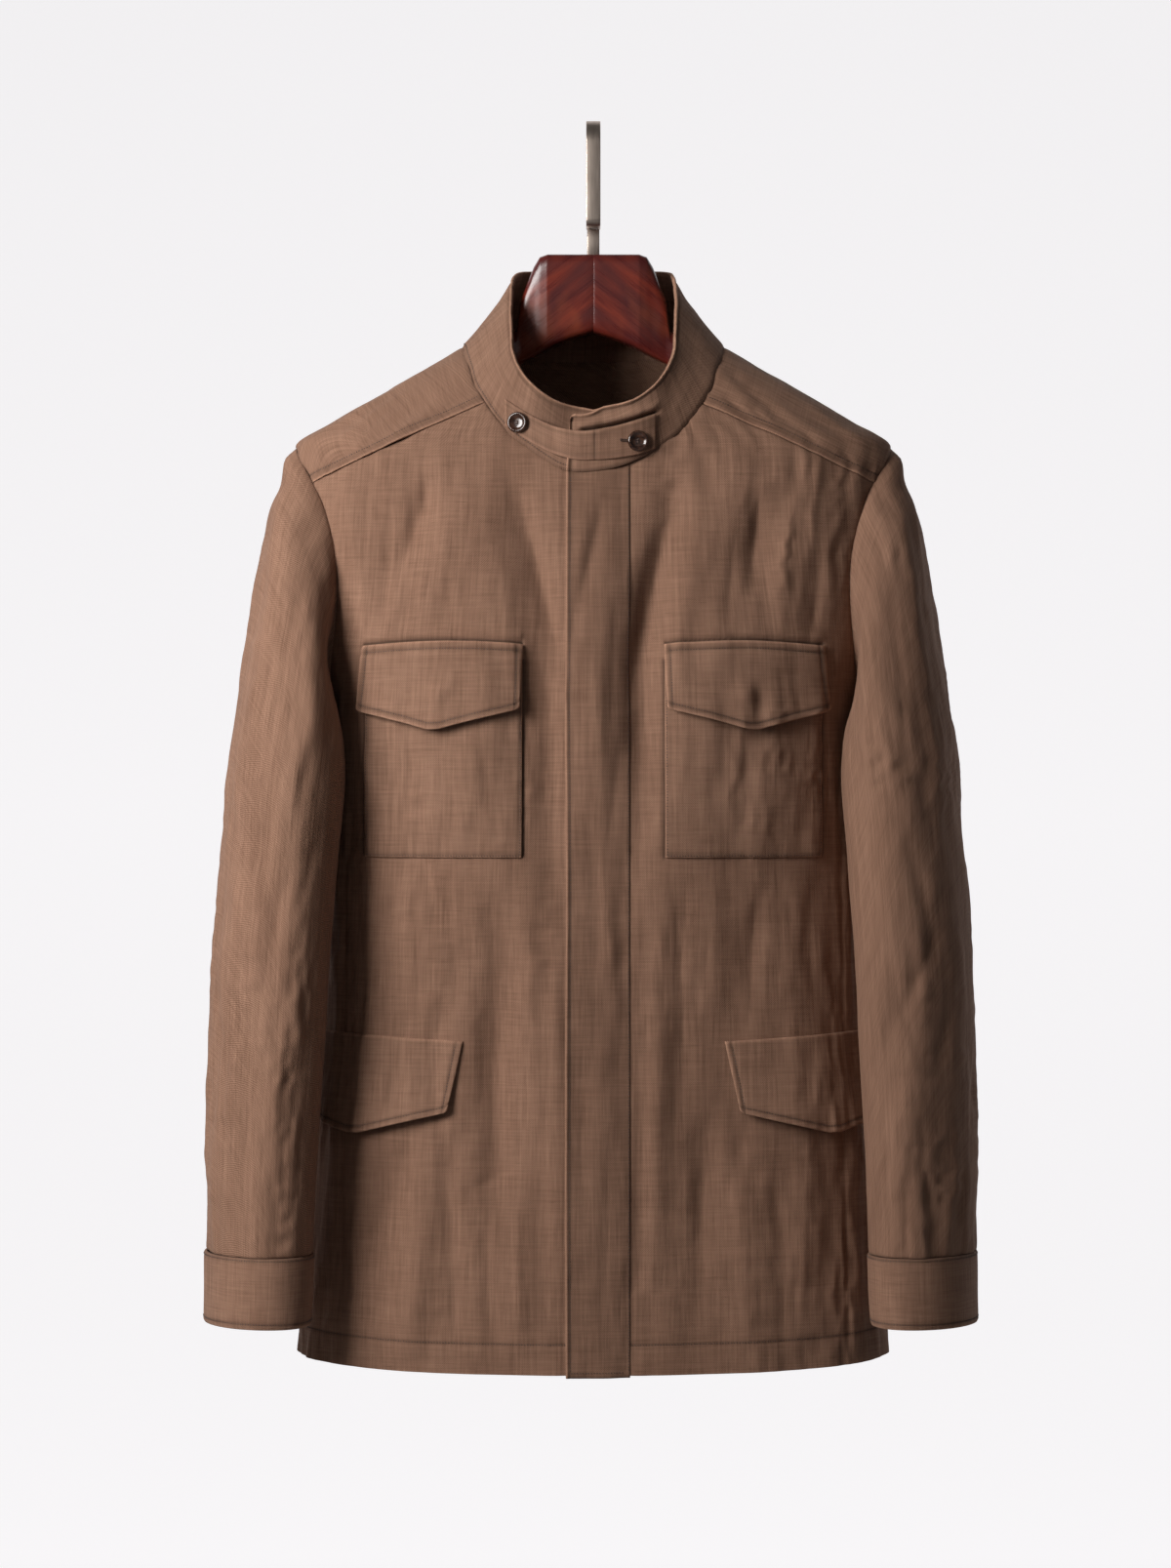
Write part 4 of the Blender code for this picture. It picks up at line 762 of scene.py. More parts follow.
class Cloth:
    """A grid of cloth: its inner face, outward directions, edge distances and how far it is out."""

    def __init__(self, inner, normals, thickness, out):
        self.inner, self.normals, self.thickness, self.out = inner, normals, thickness, out
        across, up = grid_lengths(inner)
        self.left, self.right = across, across[:, -1:] - across
        self.bottom, self.top = up, up[-1:] - up
        # painted light: painted shade below 0 and painted highlight above 0, which scales the cloth's colour
        self.detail, self.painted_light = np.zeros(across.shape), np.zeros(across.shape)
        self.uv = np.stack((across, up), axis=-1)

    def edge(self, name):
        return getattr(self, name)

    def turn_in(self, distance, depth, reach):
        self.detail -= depth * bump(distance, reach, 1.4)

    def seam(self, name, depth=0.0009, reach=0.0016):
        """The cloth turns in at a seam, and painted shade darkens it there."""
        self.turn_in(self.edge(name), depth, reach)
        self.painted_light -= 0.28 * bump(self.edge(name), 0.0012) * (depth > 0.0)

    def rolled(self, distance, amount, where=1.0):
        """Paints a highlight on cloth folded over an edge, and painted shade a little behind the roll."""
        shade = 2.0 * bump(distance - 0.0004, 0.0012) - 0.8 * bump(distance - 0.0034, 0.0014)
        self.painted_light += amount * shade * where

    def groove(self, distance, depth=0.00045, reach=0.0011, pucker=0.00016, where=1.0):
        """Stitching draws the cloth in, puckers it a little between the stitches, and painted shade darkens
        it.
        """
        self.detail -= depth * bump(distance, reach) * where
        # painted shade along the stitching
        self.painted_light -= 0.26 * bump(distance, 0.0012) * where
        wave = np.sin(self.left * PUCKERS + 3.0 * noise(self.left / 0.02, self.bottom / 0.02, 8))
        wave = wave + np.sin(self.bottom * PUCKERS + 1.0)
        self.detail += 0.5 * pucker * wave * bump(distance, 0.004) * where

    def draw_in(self, *rows):
        """Draws rows at the bottom (0) or the top (-1) in from the seam, as the solids' are."""
        for row in rows:
            self.inner[row] += unit(self.inner[1 if row == 0 else -2] - self.inner[row]) * SEAM_INSET

    def faces(self):
        outer = self.inner + self.normals * (self.thickness + self.out + self.detail)[..., None]
        return self.inner + self.normals * (self.out + 0.25 * self.detail)[..., None], outer

    def row(self, name, distance, trim=(0.0, 0.0)):
        """Points and directions of a line at a distance from an edge, on the outer face."""
        grids = (self.faces()[1], self.normals, self.edge(name))
        if name in ("bottom", "top"):
            grids = [grid.swapaxes(0, 1) for grid in grids]
        found = []
        for line, normal, places in zip(*grids):
            order = np.argsort(places)
            found.append(read_columns(distance, places[order], np.hstack((line, normal))[order]))
        points, directions = np.split(np.array(found), 2, axis=1)
        lengths = distances(points)
        kept = (lengths >= trim[0]) & (lengths <= lengths[-1] - trim[1])
        return points[kept], unit(directions[kept])

    def stitched(self, group, name, distance, trim=(0.0, 0.0)):
        stitch(group, *self.row(name, distance, trim))


def add_piece(name, mesh, slot, node=None):
    """A smooth piece in its slot, which may stand for one of the CAD's nodes."""
    mesh.polygons.foreach_set("use_smooth", np.full(len(mesh.polygons), True))
    mesh.materials.append(MATERIALS[slot])
    piece = bpy.data.objects.new(name, mesh)
    bpy.context.scene.collection.objects.link(piece)
    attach(piece, "root")
    if node:
        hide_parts(node)
    return piece


def make_cloth(node, cloth, slot, *rests_on, closed=False):
    """A wall of cloth that replaces a node. A closed one's last column is its first one again.
    """
    inner, outer = cloth.faces()
    rows, columns = cloth.left.shape
    count = columns - 1 if closed else columns
    walls = [face[:, :count].reshape(-1, 3) for face in (outer, inner)]
    spot = np.arange(rows * columns).reshape(rows, columns)
    vertex = (spot // columns * count + spot % columns % count).ravel()
    quads = np.stack((spot[:-1, :-1], spot[:-1, 1:], spot[1:, 1:], spot[1:, :-1]), axis=-1).reshape(-1, 4)
    spots, layers = [quads, quads[:, ::-1]], [(0, 0, 0, 0), (1, 1, 1, 1)]
    for border in (spot[0], spot[-1, ::-1], *(() if closed else (spot[::-1, 0], spot[:, -1]))):
        spots.append(np.stack((border[:-1], border[:-1], border[1:], border[1:]), axis=-1))
        layers.append((0, 1, 1, 0))
    faces = np.concatenate([vertex[part] + np.array(layer) * rows * count
                            for part, layer in zip(spots, layers)])
    spots = np.concatenate(spots)
    middle = (rows // 2, columns // 2)
    side = outer[middle[0], middle[1] + 1] - outer[middle]
    rise = outer[middle[0] + 1, middle[1]] - outer[middle]
    if np.dot(np.cross(side, rise), outer[middle] - inner[middle]) < 0.0:
        faces, spots = faces[:, ::-1], spots[:, ::-1]
    mesh = bpy.data.meshes.new("cloth_" + node)
    mesh.from_pydata(np.concatenate(walls).tolist(), [], faces.tolist())
    # the painted shade and painted highlight go to the mesh as a point attribute; the inner face gets half of
    # it
    shade = np.clip(cloth.painted_light[:, :count].reshape(-1), -0.85, 0.85)
    painted_light = mesh.attributes.new("painted_light", "FLOAT", "POINT")
    painted_light.data.foreach_set("value", np.concatenate((shade, 0.5 * shade)).astype(np.float32))
    layer = mesh.uv_layers.new(name="cloth")
    layer.data.foreach_set("uv", cloth.uv.reshape(-1, 2)[spots.ravel()].astype(np.float32).ravel())
    mesh.update()
    piece = add_piece("cloth_" + node, mesh, slot, node)
    width, length = float(np.max(cloth.left[:, -1])), float(np.max(cloth.bottom[-1]))
    area = min(sheet_area(cloth.inner), 0.98 * width * length)


def sheet_area(points):
    first = np.cross(points[:-1, 1:] - points[:-1, :-1], points[1:, :-1] - points[:-1, :-1])
    second = np.cross(points[1:, :-1] - points[1:, 1:], points[:-1, 1:] - points[1:, 1:])
    return 0.5 * float(np.linalg.norm(first, axis=-1).sum() + np.linalg.norm(second, axis=-1).sum())


# ---------------------------------------------------------------- stitches

STITCHES = {"seams": [], "trim": []}
STITCH_SLOTS = {"seams": "brown_twill", "trim": "brown_twill_trim"}


def stitch(group, points, normals, pitch=STITCH_PITCH, length=STITCH_LENGTH):
    """Lays a row of stitches along a line of points."""
    lengths = distances(points)
    places = np.arange(0.5 * pitch, lengths[-1], pitch)
    if len(places) == 0:
        return
    jitter = (lattice(places * 997.0, places * 13.0, 2) - 0.5) * 0.18 * pitch
    first, last = (read_columns(places + jitter + sign * 0.5 * length, lengths, points) for sign in (-1, 1))
    STITCHES[group].append((first, last, unit(read_columns(places, lengths, normals))))


def make_stitches():
    """Each stitch is a small rounded length of thread that dips at its ends."""
    sides = 5
    ring = np.linspace(0.0, 2.0 * math.pi, sides, endpoint=False)
    stations = ((0.0, 0.4, -0.8), (0.5, 1.0, 0.4), (1.0, 0.4, -0.8))
    corners = range(sides)
    quads = np.array([(low + k, low + (k + 1) % sides, low + (k + 1) % sides + sides, low + k + sides)
                      for low in range(0, (len(stations) - 1) * sides, sides) for k in corners])
    for group, rows in STITCHES.items():
        first, last, out = (np.concatenate([row[k] for row in rows]) for k in range(3))
        side = unit(np.cross(last - first, out))
        vertices = []
        for share, radius, lift in stations:
            middle = first + (last - first) * share + out * (STITCH_RADIUS * lift)
            for turn in ring:
                spread = side * math.cos(turn) * 1.15 + out * math.sin(turn) * 0.85
                vertices.append(middle + spread * STITCH_RADIUS * radius)
        vertices = np.stack(vertices, axis=1)
        faces = quads[None] + (np.arange(len(vertices)) * vertices.shape[1])[:, None, None]
        mesh = bpy.data.meshes.new("stitches_" + group)
        mesh.from_pydata(vertices.reshape(-1, 3).tolist(), [], faces.reshape(-1, 4).tolist())
        mesh.update()
        piece = add_piece("stitches_" + group, mesh, STITCH_SLOTS[group])
        # the stitches' dark colour is painted shade of their hollows
        piece.data.materials[0] = MATERIALS["brown_thread"]


# ---------------------------------------------------------------- materials

class Nodes:
    """Shorthand for building a material's node tree."""

    def __init__(self, name, **shader):
        self.material = bpy.data.materials.new(name)
        self.material.use_nodes = True
        self.shader = self.material.node_tree.nodes["Principled BSDF"]
        self.set(**shader)

    def put(self, node, sockets):
        """Sets a node's sockets, or links them where the value is another node's socket."""
        for key, value in sockets.items():
            if isinstance(value, bpy.types.NodeSocket):
                self.material.node_tree.links.new(value, node.inputs[key])
            else:
                node.inputs[key].default_value = value
        return node

    def set(self, **shader):
        """Sets or links the shader's sockets; _ stands for a space in a socket's name."""
        self.put(self.shader, {key.replace("_", " "): value for key, value in shader.items()})
        return self.material

    def add(self, kind, sockets, **settings):
        node = self.material.node_tree.nodes.new("ShaderNode" + kind)
        for key, value in settings.items():
            setattr(node, key, value)
        return self.put(node, sockets)

    def object_place(self):
        return self.add("TexCoord", {}).outputs["Object"]

    def split(self, vector):
        return self.add("SeparateXYZ", {"Vector": vector}).outputs

    def noise(self, vector, scale, detail=2.0, roughness=0.5):
        """Noise in a vector that is first scaled along each axis, or isn't where scale is None."""
        if scale is not None:
            vector = self.add("Mapping", {"Vector": vector, "Scale": scale}).outputs["Vector"]
        sockets = {"Vector": vector, "Scale": 1.0, "Detail": detail, "Roughness": roughness}
        return self.add("TexNoise", sockets).outputs["Fac"]

    def math(self, operation, *values):
        return self.add("Math", dict(enumerate(values)), operation=operation).outputs["Value"]

    def total(self, *terms):
        """The sum of the values, each times its share."""
        parts = [self.math("MULTIPLY", value, share) for value, share in terms]
        total = parts[0]
        for part in parts[1:]:
            total = self.math("ADD", total, part)
        return total

    def between(self, value, low, high, to_low=0.0, to_high=1.0):
        sockets = {"Value": value, "From Min": low, "From Max": high, "To Min": to_low, "To Max": to_high}
        return self.add("MapRange", sockets).outputs["Result"]

    def mix(self, factor, first, second):
        first, second = (colour if isinstance(colour, bpy.types.NodeSocket) else (*colour, 1.0)
                         for colour in (first, second))
        return self.add("Mix", {"Factor": factor, 6: first, 7: second}, data_type="RGBA").outputs[2]

    def bump(self, height, strength, distance):
        sockets = {"Height": height, "Strength": strength, "Distance": distance}
        self.set(Normal=self.add("Bump", sockets).outputs["Normal"])


def twill(name, dark, light, seed):
    """Slub twill: fine diagonal ribs, uneven warp and weft yarns, and a soft mottling."""
    nodes = Nodes(name, Specular_IOR_Level=0.22, Sheen_Weight=0.1, Sheen_Roughness=0.45,
                  Sheen_Tint=(0.75, 0.62, 0.52, 1.0))
    place = nodes.add("UVMap", {}, uv_map="cloth").outputs["UV"]
    shift = (seed * 3.7, seed * 1.9, 0.0)
    place = nodes.add("Mapping", {"Vector": place, "Location": shift}).outputs["Vector"]
    wobble = nodes.noise(place, (90.0, 90.0, 1.0), 1.0)
    split = nodes.split(place)
    ribs_across, ribs_up = 720.0 * 2 * math.pi, 640.0 * 2 * math.pi
    rib = nodes.math("SINE", nodes.total((split["X"], ribs_across), (split["Y"], ribs_up), (wobble, 7.0)))
    warp, weft, warp_wide, weft_wide, cloud, streak = (
        nodes.noise(place, (per_metre_across, per_metre_up, 1.0), detail)
        for per_metre_across, per_metre_up, detail in
        ((950.0, 34.0, 2.0), (34.0, 950.0, 2.0), (330.0, 9.0, 2.0), (14.0, 420.0, 2.0), (22.0, 9.0, 3.0),
         (260.0, 16.0, 2.0)))
    slub = nodes.between(nodes.noise(place, (75.0, 1100.0, 1.0), 1.0), 0.66, 0.8)
    warp_slub = nodes.between(nodes.noise(place, (900.0, 45.0, 1.0), 1.0), 0.66, 0.82)
    yarns = [(nodes.math("SUBTRACT", yarn, 0.5), share) for yarn, share in
             ((warp, 0.85), (weft, 0.66), (warp_wide, 0.55), (weft_wide, 0.32), (cloud, 0.6))]
    factor = nodes.between(nodes.total(*yarns, (rib, 0.22), (slub, -0.3), (warp_slub, 0.22)), -0.5, 0.5)
    # the colour is scaled by the cloth's painted shade and painted highlight, read from a mesh attribute
    painted_light = nodes.add("Attribute", {}, attribute_name="painted_light").outputs["Fac"]
    sockets = {0: nodes.mix(factor, dark, light), "Scale": nodes.math("ADD", painted_light, 1.0)}
    shaded = nodes.add("VectorMath", sockets, operation="SCALE").outputs["Vector"]
    nodes.bump(nodes.total((rib, 0.55), (warp, 0.5), (weft, 0.6), (slub, 0.5), (streak, 3.0)), 0.55, 0.00028)
    return nodes.set(Base_Color=shaded, Roughness=nodes.between(factor, 0.0, 1.0, 0.92, 0.78))


# The thread's dark brown is painted shade, for the shaded hollows along each row of stitching.
def thread():
    nodes = Nodes("brown_thread", Roughness=0.55, Sheen_Weight=0.15)
    value = nodes.noise(nodes.object_place(), (700.0, 700.0, 700.0))
    return nodes.set(Base_Color=nodes.mix(value, (0.04, 0.019, 0.012), (0.095, 0.048, 0.031)))


def horn():
    nodes = Nodes("dark_horn", Coat_Weight=0.5, Coat_Roughness=0.08)
    swirl = nodes.noise(nodes.object_place(), (260.0, 260.0, 420.0), 4.0, 0.6)
    colour = nodes.mix(nodes.between(swirl, 0.35, 0.7), (0.016, 0.007, 0.005), (0.085, 0.036, 0.02))
    return nodes.set(Base_Color=colour, Roughness=nodes.between(swirl, 0.3, 0.7, 0.14, 0.26))


def wood():
    """Stained wood whose grain leans up to the middle from both sides, as in a joined block."""
    nodes = Nodes("red_brown_wood", Coat_Weight=0.22, Coat_Roughness=0.18)
    place = nodes.object_place()
    split = nodes.split(place)
    folded = nodes.math("ABSOLUTE", split["X"])
    lean = nodes.math("ADD", split["Z"], nodes.math("MULTIPLY", folded, 0.8))
    along = nodes.math("SUBTRACT", folded, nodes.math("MULTIPLY", split["Z"], 0.8))
    axes = {"X": nodes.math("MULTIPLY", lean, 190.0), "Y": nodes.math("MULTIPLY", along, 16.0),
            "Z": nodes.math("MULTIPLY", split["Y"], 60.0)}
    grained = nodes.add("CombineXYZ", axes).outputs["Vector"]
    grain = nodes.noise(grained, None, 4.0, 0.6)
    broad = nodes.noise(grained, (0.22, 0.6, 0.3))
    pores = nodes.noise(grained, (5.0, 1.6, 5.0), 1.0)
    glow = nodes.noise(place, (28.0, 28.0, 20.0))
    base = nodes.mix(nodes.between(grain, 0.35, 0.68), (0.11, 0.012, 0.008), (0.22, 0.03, 0.013))
    for value, low, high, most, colour in ((broad, 0.42, 0.66, 0.75, (0.05, 0.01, 0.012)),
                                           (pores, 0.62, 0.75, 0.35, (0.03, 0.006, 0.006)),
                                           (glow, 0.52, 0.72, 0.6, (0.33, 0.07, 0.026))):
        base = nodes.mix(nodes.between(value, low, high, 0.0, most), base, colour)
    nodes.bump(grain, 0.12, 0.0003)
    return nodes.set(Base_Color=base, Roughness=nodes.between(grain, 0.3, 0.7, 0.24, 0.34))


def bronze():
    nodes = Nodes("satin_bronze", Metallic=1.0)
    brushed = nodes.noise(nodes.object_place(), (2200.0, 60.0, 60.0))
    colour = nodes.mix(brushed, (0.47, 0.385, 0.325), (0.62, 0.52, 0.45))
    return nodes.set(Base_Color=colour, Roughness=nodes.between(brushed, 0.3, 0.7, 0.34, 0.46))


def pale_stage():
    """A plain pale floor whose far part is lit, so that it fades into white behind the jacket."""
    nodes = Nodes("pale_floor", Base_Color=(0.345, 0.342, 0.345, 1.0), Roughness=0.9, Specular_IOR_Level=0.0,
                  Emission_Color=(1.0, 0.985, 1.0, 1.0))
    far = nodes.split(nodes.object_place())["Y"]
    return nodes.set(Emission_Strength=nodes.between(far, *STAGE_GLOW_Y, 0.0, STAGE_GLOW))


MATERIALS = {
    "brown_twill": twill("brown_twill_cloth", (0.15, 0.076, 0.047), (0.35, 0.196, 0.13), 1),
    "brown_twill_trim": twill("brown_twill_trim_cloth", (0.156, 0.08, 0.05), (0.36, 0.204, 0.136), 2),
    "brown_thread": thread(),
    "dark_horn": horn(),
    "red_brown_wood": wood(),
    "satin_bronze": bronze(),
}


# ---------------------------------------------------------------- the body's panels

def side_seam():
    z = np.linspace(HEM_Z_SIDE, ARMPIT_Z, 80)
    return run(90.0 + (SIDE_SEAM_ANGLE - 90.0) * ramp(-z, -ARMPIT_Z, -SIDE_SEAM_FULL_Z), z)


def armhole_run(start, end):
    return np.stack(armhole(np.linspace(start, end, 60)), axis=-1)


def neck_run(start, end, side=1):
    angles = np.linspace(start, end, 60)
    return run(angles, neck_height(side * angles))


def yoke_neck_angle():
    return float(neck_angle(neck_way_at(YOKE_NECK_X)))


def front_yoke_seam():
    start_z = float(neck_height(yoke_neck_angle()))
    end = armhole(FRONT_YOKE_TURN)
    end_x = body_face(*end)[..., 0]
    shares = np.linspace(0.0, 1.0, 80)
    z = start_z + (end[1] - start_z) * shares
    return run(angle_at(YOKE_NECK_X + (end_x - YOKE_NECK_X) * shares, z), z)


def body_cloth(grid, side, thickness=CLOTH, lift=0.0):
    """Cloth on the body at a grid of (angle, z), moved out by lift."""
    angle, z = side * grid[..., 0], grid[..., 1]
    return Cloth(body_face(angle, z), body_normal(angle, z), thickness, body_crease(angle, z) + lift)


def cloth_at(x, z, side, thickness, lift):
    """Cloth on the body at a grid of places seen from the front."""
    return body_cloth(np.stack((angle_at(x, z), z), axis=-1), side, thickness, lift)


def panel_cloth(grid, side):
    """A panel of the body, with its outline drawn in from the seams, as the solids' is."""
    cloth = body_cloth(grid, side)
    points = cloth.inner
    shift = np.zeros_like(points)
    shift[0] += unit(points[1] - points[0])
    shift[-1] += unit(points[-2] - points[-1])
    shift[:, 0] += unit(points[:, 1] - points[:, 0])
    shift[:, -1] += unit(points[:, -2] - points[:, -1])
    cloth.inner = points + shift * SEAM_INSET
    cloth.uv = np.stack((cloth.left * side, cloth.inner[..., 2]), axis=-1)
    return cloth


def chest_flap_top(x):
    """The height of the chest flaps' sewn edge, which is arched a little."""
    share = np.clip((x - CHEST_FLAP_TOP[0]) / (CHEST_FLAP_TOP[1] - CHEST_FLAP_TOP[0]), 0.0, 1.0)
    return CHEST_FLAP_TOP_Z - 0.001 + 0.0028 * np.sin(math.pi * share)


def sew_front_seam(cloth, side, line):
    """The seam that shapes the front, from the chest pocket to the hem."""
    x, z = cloth.inner[..., 0], cloth.inner[..., 2]
    along = np.clip((line.z_top - z) / (line.z_top - line.z_low), 0.0, 1.0)
    away = x - line.x_top - (line.x_low - line.x_top) * along
    inside = ramp(z, line.z_low - 0.004, line.z_low) * (1.0 - ramp(z, line.z_top, line.z_top + 0.004))
    cloth.detail -= 0.001 * bump(away, 0.0016, 1.3) * inside
    cloth.out += 0.0006 * bump(away - side * 0.006, 0.006) * inside


def sink_under_pocket(cloth, side):
    """The sewn edges of the chest flap and of the pocket draw the front in, with painted shade along them."""
    x, z = cloth.inner[..., 0] * side, cloth.inner[..., 2]
    below = z - chest_flap_top(x)
    over = (x > CHEST_FLAP_TOP[0]) & (x < CHEST_FLAP_TOP[1])
    cloth.detail -= 0.0014 * bump(below - 0.0008, 0.0022, 1.6) * over
    cloth.detail += 0.0005 * bump(below - 0.006, 0.003) * over
    # painted shadow: a dark line on the front just above the flap's sewn top
    cloth.painted_light -= 0.75 * bump(below - 0.0006, 0.0014) * over
    tall = (z < POCKET_TOP_Z) & (z > POCKET_BOTTOM_Z) & (x > 0.0)
    for place in (POCKET_INNER_X - 0.0008, POCKET_OUTER_X + 0.0008):
        cloth.detail -= 0.0007 * bump(x - place, 0.0018, 1.5) * tall
        # painted shade: dark lines on the front beside the pocket's sides
        cloth.painted_light -= 0.55 * bump(x - place, 0.0016) * tall


def make_front(node, side, edge_x):
    neck_start = float(neck_angle(neck_way_at(edge_x)))
    neck_part, yoke_part = neck_run(neck_start, yoke_neck_angle(), side), front_yoke_seam()
    seam_part, hole_part = side_seam(), armhole_run(180.0, FRONT_YOKE_TURN)
    top, right = joined(neck_part, yoke_part), joined(seam_part, hole_part)
    left_z = np.linspace(HEM_Z_FRONT, top[0][1], 160)
    left = run(angle_at(edge_x, left_z), left_z)
    angles = np.linspace(left[0][0], right[0][0], 160)
    bottom = run(angles, HEM_Z_SIDE + (HEM_Z_FRONT - HEM_Z_SIDE) * np.maximum(turned(angles)[0], 0.0))
    across = with_corner(real_length(neck_part), real_length(yoke_part), STEP)
    up = with_corner(real_length(seam_part), real_length(hole_part), STEP, (HEM_STITCH,))
    # the parts beside the chest pocket's sides and the flap's top
    across = finer(finer(across, 0.105, 0.185, 0.0058), 0.612, 0.838, 0.0066)
    up = finer(up, 0.742, 0.806, 0.0016)
    cloth = panel_cloth(panel(bottom, top, left, right, across, up), side)
    cloth.seam("top")
    cloth.seam("right")
    cloth.groove(cloth.bottom - HEM_STITCH)
    if side < 0:
        # the front sinks a little along the placket's free edge
        cloth.out -= 0.001 * bump(cloth.inner[..., 0] - FLY_X[0] + 0.0012, 0.0022)
    for line in FRONT_SEAMS:
        if line.x_top * side > 0.0:
            sew_front_seam(cloth, side, line)
    sink_under_pocket(cloth, side)
    make_cloth(node, cloth, "brown_twill", "hanger_body")
    cloth.stitched("seams", "bottom", HEM_STITCH, (0.0, 0.002))


def make_back():
    seam_part, hole_part = side_seam(), armhole_run(-180.0, BACK_YOKE_TURN)
    left = joined(seam_part, hole_part)
    right = left * (-1.0, 1.0) + (360.0, 0.0)
    top = run(np.linspace(left[-1][0], right[-1][0], 200), left[-1][1])
    bottom = run(np.linspace(left[0][0], right[0][0], 200), HEM_Z_SIDE)
    across = spacing(real_length(bottom), STEP * 1.15)
    up = with_corner(real_length(seam_part), real_length(hole_part), STEP * 1.15, (HEM_STITCH,))
    cloth = panel_cloth(panel(bottom, top, left, right, across, up), 1)
    for edge in ("top", "left", "right"):
        cloth.seam(edge)
    cloth.groove(cloth.bottom - HEM_STITCH)
    make_cloth("back", cloth, "brown_twill", "hanger_body")
    cloth.stitched("seams", "bottom", HEM_STITCH)


def make_yoke():
    """One strip from the left front seam over the shoulder, round the back to the right one."""
    seam = front_yoke_seam()
    shares = np.linspace(0.0, 1.0, 80)
    corner = np.array(armhole(BACK_YOKE_TURN))
    ridge = run(90.0, float(neck_z(90.0)) * (1.0 - shares) + SHOULDER_Z * shares)
    centre = run(180.0, float(neck_z(180.0)) * (1.0 - shares) + corner[1] * shares)
    hole_front, hole_back = armhole_run(FRONT_YOKE_TURN, 0.0), armhole_run(0.0, BACK_YOKE_TURN)
    back_seam = run(np.linspace(corner[0], 180.0, 80), corner[1])
    across = spacing(real_length(seam), STEP, (SEAM_STITCH,), (SEAM_STITCH,))
    front_up = spacing(real_length(hole_front), STEP, (SEAM_STITCH,))
    back_up = with_corner(real_length(hole_back), real_length(back_seam), STEP * 1.1)
    front = panel(seam, ridge, neck_run(yoke_neck_angle(), 90.0), hole_front, across, front_up)
    rear = panel(ridge, centre, neck_run(90.0, 180.0), joined(hole_back, back_seam), across, back_up)
    half = joined(front, rear)
    cloth = panel_cloth(np.concatenate((half, half[-2::-1] * (-1.0, 1.0) + (360.0, 0.0))), 1)
    cloth.uv = np.stack((cloth.bottom * 0.9, -cloth.left), axis=-1)
    cloth.seam("left", 0.0008)
    cloth.seam("right", 0.0008)
    for edge in ("bottom", "top"):
        cloth.seam(edge, -0.0003, 0.003)
        cloth.rolled(cloth.edge(edge), 0.24)
        cloth.groove(cloth.edge(edge) - SEAM_STITCH, 0.0004)
    make_cloth("yoke", cloth, "brown_twill", "hanger_body")
    for edge in ("bottom", "top"):
        cloth.stitched("seams", edge, SEAM_STITCH, (0.002, 0.002))
    # across the back, only the level part of the seam is stitched
    points, normals = cloth.row("right", SEAM_STITCH)
    level = (np.abs(points[:, 2] - corner[1] - SEAM_STITCH) < 0.02) & (points[:, 1] > 0.03)
    stitch("seams", points[level], normals[level])


# ---------------------------------------------------------------- collar and tab

def collar_crease(way, height):
    """The collar's own soft dents, and its crumple."""
    x, y, z = np.moveaxis(collar_face(way, height), -1, 0)
    total = np.zeros_like(x)
    for row in COLLAR_CREASES:
        total -= np.where(y < 0.01, line_effect(row, x, z), 0.0)
    return total + 0.5 * crumple(way * COLLAR_HALF_LENGTH, height * 0.06, 21)


def collar_top(way):
    """The upper end's top edge falls below the lower one's, and its corner is rounded."""
    x = neck_base(way)[..., 0]
    to_end = np.clip(x - COLLAR_OVER_END_X, 0.0, COLLAR_ROUND)
    fall = COLLAR_ROUND - np.sqrt(np.maximum(COLLAR_ROUND ** 2 - (COLLAR_ROUND - to_end) ** 2, 0.0))
    fall = fall + 0.0066 * (1.0 - ramp(x, -0.014, 0.011))
    return np.where(way < -1.0, 1.0 - fall / COLLAR_FRONT_HEIGHT, 1.0)


